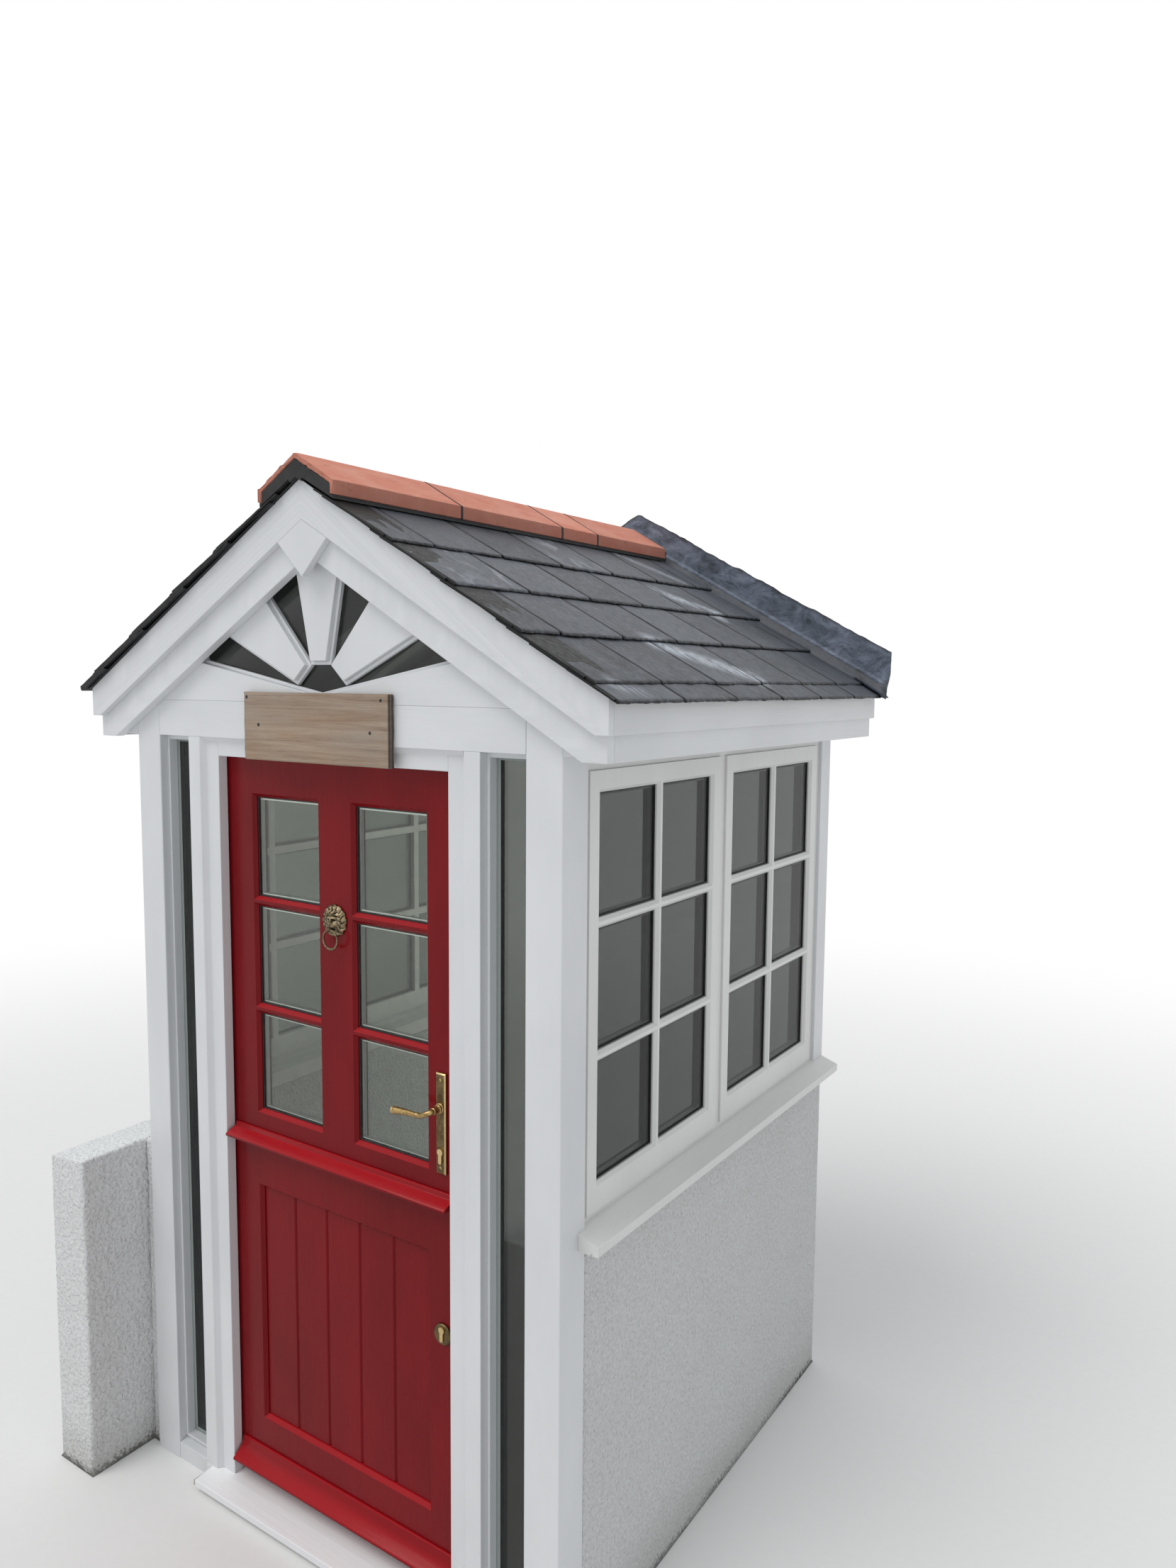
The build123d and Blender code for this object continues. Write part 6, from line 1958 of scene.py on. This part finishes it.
@dataclass
class NameBoard:
    """Bare sawn oak board, nailed at four places."""

    # size of the mesh's squares, depth of the ripples, wear of the edges, width of the dark ends
    cell: float = 0.004
    ripple: float = 0.0016
    corner: float = 0.0012
    sawn: float = 0.0032
    # a nail's radius, its rings in shares of that, and the nails' places in shares of the board
    nail: float = 0.0045
    nail_rings: Profile = ((-0.0006, 0.9), (0.0002, 1.0), (0.0008, 0.86), (0.001, 0.2))
    nails: tuple[tuple[float, float], ...] = ((0.025, 0.92), (0.95, 0.91), (0.11, 0.52), (0.88, 0.47))

    def build(self, recipe: Recipe) -> None:
        """Make the board and its nails.

        Args:
            recipe: the tree that places fixings.
        """
        low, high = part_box("name_board")
        mesh = block_grid(low, high, self.cell)
        size, centre = high - low, (high + low) / 2

        def depth(places: np.ndarray, _: np.ndarray) -> np.ndarray:
            """Long ripples along the grain and worn corners."""
            along = lumps(places * (0.14, 1.0, 1.0), 0.012, 51)
            broad = lumps(places * (0.3, 1.0, 1.0), 0.05, 52)
            worn = on_edges(places, low, high) * self.corner * (1 + hills(places, 0.02, 53))
            return self.ripple * (0.5 + 0.5 * (0.6 * along + 0.4 * broad)) + worn

        push_in(mesh, depth)
        piece = present("oak_name_board", mesh, OAK, ["name_board"], Grain.ACROSS, 50.0)

        def rim(places: np.ndarray) -> np.ndarray:
            """Dark sawn ends, apart from a paler stripe behind the front edge."""
            out = np.abs(places[:, 0] - centre.x) > size.x / 2 - self.sawn
            stripe = np.abs(places[:, 1] - low.y - 0.008) < 0.0026
            return out * np.where(stripe, 0.55, 1.0)

        lay_mark(piece, "rim", rim)
        head = bmesh.new()
        rings = [(along, self.nail * share) for along, share in self.nail_rings]
        turned(head, rings, 18)
        places = [(Vector((low.x + size.x * across, low.y + 0.0012, low.z + size.z * up)), Vector((0, -1, 0)))
                  for across, up in self.nails]
        present("name_board_nails", fix_parts(head, places, MORTAR, recipe), MORTAR, smooth=40.0)


@dataclass
class DoorFurniture:
    """Long plates with screws, swan-neck levers and round escutcheons."""

    arris: float = 0.0007
    # the screws: radius, distance from a plate's end, rings in shares of the radius, depth of the slot
    screw: float = 0.0036
    screw_from_end: float = 0.016
    screw_rings: Profile = ((-0.0006, 1.0), (0.0003, 0.98), (0.0009, 0.75), (0.0012, 0.35))
    slot: float = 0.0007
    # the levers: turned neck and tip as places and radii, the bar's path from its turn, and its radius
    neck: Profile = ((0.0004, 0.0128), (0.0026, 0.0130), (0.0042, 0.0120), (0.0050, 0.0098), (0.0060, 0.0096),
                     (0.0070, 0.0104), (0.0084, 0.0104), (0.0094, 0.0086), (0.0130, 0.0074), (0.0200, 0.0068),
                     (0.0225, 0.0068), (0.0235, 0.0082), (0.0262, 0.0084), (0.0274, 0.0068), (0.0290, 0.0064))
    tip: Profile = ((-0.0016, 0.0090), (-0.0006, 0.0099), (0.0008, 0.0099), (0.0022, 0.0082),
                    (0.0032, 0.0052), (0.0038, 0.0032), (0.0045, 0.0032), (0.0054, 0.0041), (0.0066, 0.0043),
                    (0.0078, 0.0036), (0.0086, 0.0014))
    arm: tuple = ((-0.012, 0.0012, -0.005), (-0.026, 0.0008, -0.0105), (-0.044, 0.0, -0.0122),
                  (-0.074, 0.0, -0.0128))
    bar: float = 0.0074
    taper: float = 0.0012
    flare: float = 0.0030
    collar: float = 0.0018
    sides: tuple[int, int, int] = (28, 20, 24)

    def build(self, recipe: Recipe) -> None:
        """Dress plates and escutcheons, and put in their screws.

        Args:
            recipe: the tree that places fixings.
        """
        for node in ("handle_plates", "lower_escutcheons"):
            mesh = merged_copy(node)
            ease_edges(mesh, self.arris, 2, 20.0)
            present(f"brass_{node}", mesh, PLATE_BRASS_WITH_PAINTED_SHADE, [node], Grain.UPRIGHT, 30.0)
        low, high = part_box("handle_plates")
        middle = (low.x + high.x) / 2
        places = [(Vector((middle, y, z)), Vector((0, facing, 0)))
                  for y, facing in ((low.y, -1), (high.y, 1))
                  for z in (low.z + self.screw_from_end, high.z - self.screw_from_end)]
        mesh = fix_parts(self.screw_head(), places, BRASS, recipe)
        present("handle_plate_screws", mesh, BRASS, smooth=35.0, body=body_of("handle_plates"))

    def screw_head(self) -> bmesh.types.BMesh:
        """Domed slotted screw head that faces +Z."""
        mesh = bmesh.new()
        rings = [(along, share * self.screw) for along, share in self.screw_rings]
        turned(mesh, rings, 20)
        for vert in mesh.verts:
            if vert.co.z > 0.0002 and abs(vert.co.y) < 0.0006:
                vert.co.z -= self.slot
        return mesh

    def build_levers(self) -> None:
        """Both levers with their ringed necks, on the turning body."""
        low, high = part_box("lever_handle")
        plate_low, plate_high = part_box("handle_plates")
        spindle = pivot_of("lever_turn")
        mesh = bmesh.new()
        for plate, out in ((plate_low.y, -1), (plate_high.y, 1)):
            reach = (plate - low.y) if out < 0 else (high.y - plate)
            self.lever(mesh, spindle.x, spindle.z, plate, out, reach, low.x)
        outward(mesh)
        present("swan_neck_levers", mesh, BRASS, ["lever_handle"], Grain.ACROSS, 50.0)

    def lever(self, mesh: bmesh.types.BMesh, x: float, z: float, plate: float, out: int, reach: float,
              tip: float) -> None:
        """One lever.

        Args:
            mesh: where it is added.
            x: the spindle's place along the front.
            z: its height.
            plate: the plate's outer face.
            out: -1 outside the door, 1 inside.
            reach: how far the lever stands out from the plate.
            tip: the lever's farthest place from the spindle.
        """
        away, base = Vector((0, out, 0)), Vector((x, plate, z))
        neck_sides, bar_sides, tip_sides = self.sides
        turned(mesh, self.neck, neck_sides, base, away)
        body = reach - 0.0085
        turn = base + away * body
        points = [base + away * 0.026, base + away * (body - 0.006) + Vector((-0.0015, 0, -0.0005)),
                  *(turn + Vector((along, out * bow, rise)) for along, bow, rise in self.arm),
                  Vector((tip + 0.0066, plate + out * body, z - 0.016))]
        path = smooth_path(points, 9)
        radii = []
        for part in (index / (len(path) - 1) for index in range(len(path))):
            thin = self.bar - self.taper * min(1.0, part / 0.55)
            flare = self.flare * max(0.0, (part - 0.62) / 0.38) ** 1.2
            collar = self.collar * math.exp(-((part - 0.60) / 0.013) ** 2)
            radii.append(thin + flare + collar)
        drawn(mesh, path, radii, bar_sides)
        along = (path[-1] - path[-2]).normalized()
        turned(mesh, self.tip, tip_sides, path[-1] - along * 0.0022, along)


@dataclass
class LionKnocker:
    """Cast lion mask with a curled mane, and the beaded ring in its mouth."""

    # the mask: radius, scallops of its edge and a longer chin, and the mesh's rings and steps
    radius: float = 0.0405
    scallop: float = 0.028
    chin: float = 0.02
    rings: int = 56
    steps: int = 120
    # how far round a place its surroundings are taken, and how deep a dark hollow is
    hollow: float = 0.0026
    hollow_depth: float = 0.0009
    # bumps in millimetres, on the middle line and on both sides: place, widths and height
    face_bumps: tuple = ((0, 2, 19, 24, 8.0), (0, 19, 8, 6, 4.0), (0, 4.0, 3.2, 9.5, 4.6),
                         (0, -4.6, 4.6, 3.0, 6.0), (0, 13.0, 2.0, 6.0, -1.6), (0, -10.0, 0.8, 3.5, -2.0),
                         (0, -19.5, 8.0, 2.0, -5.0), (0, -25.5, 6.6, 4.2, 6.2), (0, -33.0, 6.0, 4.0, 2.5))
    side_bumps: tuple = ((8.0, 10.0, 6.0, 3.4, 5.0), (8.2, 4.6, 4.2, 2.8, -4.2), (8.2, 4.4, 2.2, 1.7, 2.6),
                         (12.5, -4.5, 5.5, 6.0, 3.0), (5.4, -11.5, 5.6, 5.4, 6.0),
                         (2.6, -5.6, 1.4, 1.2, -1.6), (22.0, 19.5, 4.6, 4.6, 3.6), (4.6, 22.0, 3.4, 5.0, 2.6))
    # the ring: radius of its wire, steps and faces, its beads' angles and sizes, and a bead's profile
    ring_wire: float = 0.0026
    wire_steps: int = 64
    wire_faces: int = 14
    bead: float = 0.0043
    beads: tuple = ((-0.30, 0.8), (0.0, 1.0), (0.30, 0.8))
    bead_rings: Profile = ((-1.0, 0.55), (-0.8, 0.8), (-0.4, 0.97), (0.0, 1.03), (0.4, 0.97), (0.8, 0.8),
                           (1.0, 0.55))

    def height(self, u: np.ndarray, v: np.ndarray) -> np.ndarray:
        """How far the mask stands out of the door.

        The mane is two rings of curls, and the face is made of bumps.

        Args:
            u: place across, from its middle.
            v: place up, from its middle.

        Returns:
            Heights in metres.
        """
        far = np.hypot(u, v * 0.97) * 1000
        angle = np.arctan2(u, v)
        rim = np.clip((41.5 - far) / 6.5, 0, 1)
        outer = np.exp(-((far - 34.5) / 6.0) ** 2)
        inner = np.exp(-((far - 25.0) / 4.6) ** 2)
        curl = np.abs(np.sin(7.5 * angle + 0.11 * far)) ** 0.7
        lock = np.abs(np.sin(6.5 * angle - 0.16 * far + 0.8)) ** 0.7
        strand = 0.5 + 0.5 * np.sin(34 * angle + 0.55 * far + 3 * curl)
        total = 4.0 * np.sqrt(rim) + 5.0 * np.clip((41.5 - far) / 20, 0, 1)
        total += outer * (4.2 * curl + 0.9 * strand)
        total += inner * (4.6 * lock + 0.9 * strand) * (0.6 + 0.4 * np.cos(angle))
        sides = [(side * across, *rest) for side in (-1, 1) for across, *rest in self.side_bumps]
        for across, up, wide, tall, high in (*self.face_bumps, *sides):
            total += high * np.exp(-((u * 1000 - across) / wide) ** 2 - ((v * 1000 - up) / tall) ** 2)
        return np.maximum(0.001 * total, 0.0006)

    def build(self) -> None:
        """Make the mask and the ring."""
        pivot = pivot_of("knocker_swing")
        low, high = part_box("knocker_head")
        face, middle_z = high.y, (low.z + high.z) / 2
        reach = high.y - low.y
        mesh = bmesh.new()
        table = []
        for ring in range(1, self.rings + 1):
            share = ring / self.rings
            angles = np.arange(self.steps) * 2 * math.pi / self.steps
            edge = self.radius * (1 + self.scallop * np.cos(13 * angles) + self.chin * np.cos(angles))
            u, v = share * edge * np.sin(angles), share * edge * np.cos(angles)
            tall = np.minimum(self.height(u, v), reach)
            table.append([mesh.verts.new((pivot.x + a, face - h, middle_z + b))
                          for a, b, h in zip(u, v, tall)])
        peak = float(self.height(np.zeros(1), np.zeros(1))[0])
        centre = mesh.verts.new((pivot.x, face - peak, middle_z))
        back = [mesh.verts.new((vert.co.x, face - 0.0001, vert.co.z)) for vert in table[-1]]
        for step in range(self.steps):
            after = (step + 1) % self.steps
            mesh.faces.new((centre, table[0][step], table[0][after]))
            for first, second in zip(table, table[1:] + [back]):
                mesh.faces.new((first[step], second[step], second[after], first[after]))
        mesh.faces.new(back)
        outward(mesh)
        head = present("cast_lion_mask", mesh, CAST_BRASS, ["knocker_head"], Grain.UPRIGHT, 180.0)

        def recess(places: np.ndarray) -> np.ndarray:
            """Dark hollows: 1 where the mask lies below its surroundings."""
            u, v = places[:, 0] - pivot.x, places[:, 2] - middle_z
            around = [self.height(u + self.hollow * math.sin(t), v + self.hollow * math.cos(t))
                      for t in np.arange(8) * math.pi / 4]
            return np.clip((np.mean(around, axis=0) - self.height(u, v)) / self.hollow_depth + 0.30, 0, 1)

        lay_mark(head, "rim", recess)
        self.build_ring(pivot)

    def build_ring(self, pivot: Vector) -> None:
        """Round ring with three beads at its lowest part.

        Args:
            pivot: the middle of the wire in the mouth.
        """
        low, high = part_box("knocker_ring")
        radius = (high.x - low.x) / 2 - self.ring_wire - 0.0008
        centre = Vector((pivot.x, pivot.y, pivot.z - radius))
        mesh = bmesh.new()
        table = []
        for angle in (2 * math.pi * step / self.wire_steps for step in range(self.wire_steps)):
            out = Vector((math.sin(angle), 0, math.cos(angle)))
            wire = self.ring_wire * (1 + 0.12 * (1 - math.cos(angle)) / 2)
            turns = [2 * math.pi * k / self.wire_faces for k in range(self.wire_faces)]
            table.append([mesh.verts.new(centre + out * (radius + wire * math.cos(t))
                                         + Vector((0, wire * math.sin(t), 0))) for t in turns])
        skin(mesh, table + table[:1])
        for shift, size in self.beads:
            angle = math.pi + shift
            out = Vector((math.sin(angle), 0, math.cos(angle)))
            along = Vector((math.cos(angle), 0, -math.sin(angle)))
            ball = self.bead * size
            profile = [(ball * place, ball * share) for place, share in self.bead_rings]
            turned(mesh, profile, 18, centre + out * radius, along)
        outward(mesh)
        ring = present("beaded_ring", mesh, CAST_BRASS, ["knocker_ring"], Grain.ACROSS, 180.0)
        lay_mark(ring, "rim", lambda places: np.clip(0.45 + 0.25 * lumps(places, 0.006, 77), 0, 1))


def main() -> None:
    """Build every sub-assembly in order."""
    logging.basicConfig(level=logging.INFO, format="%(name)s: %(message)s")
    Viewpoint().build()
    Studio().build()
    fixings = fixings_recipe()
    PlainSolids().build()
    Joinery().build()
    SlateRoof().build()
    RidgeTiles().build()
    LeadFlashing().build()
    RenderedWalls().build()
    units = SealedUnits()
    units.build("window_glass", Axis.X, WINDOW_GLASS)
    # the sidelights' tapes carry a painted reflection
    units.build("sidelight_glass", Axis.Y, SIDE_GLASS, 0.008, TAPE_WITH_PAINTED_REFLECTION)
    units.build("upper_door_glass", Axis.Y, DOOR_GLASS)
    NameBoard().build(fixings)
    furniture = DoorFurniture()
    furniture.build(fixings)
    furniture.build_levers()
    LionKnocker().build()
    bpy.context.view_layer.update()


if __name__ == "__main__":
    main()
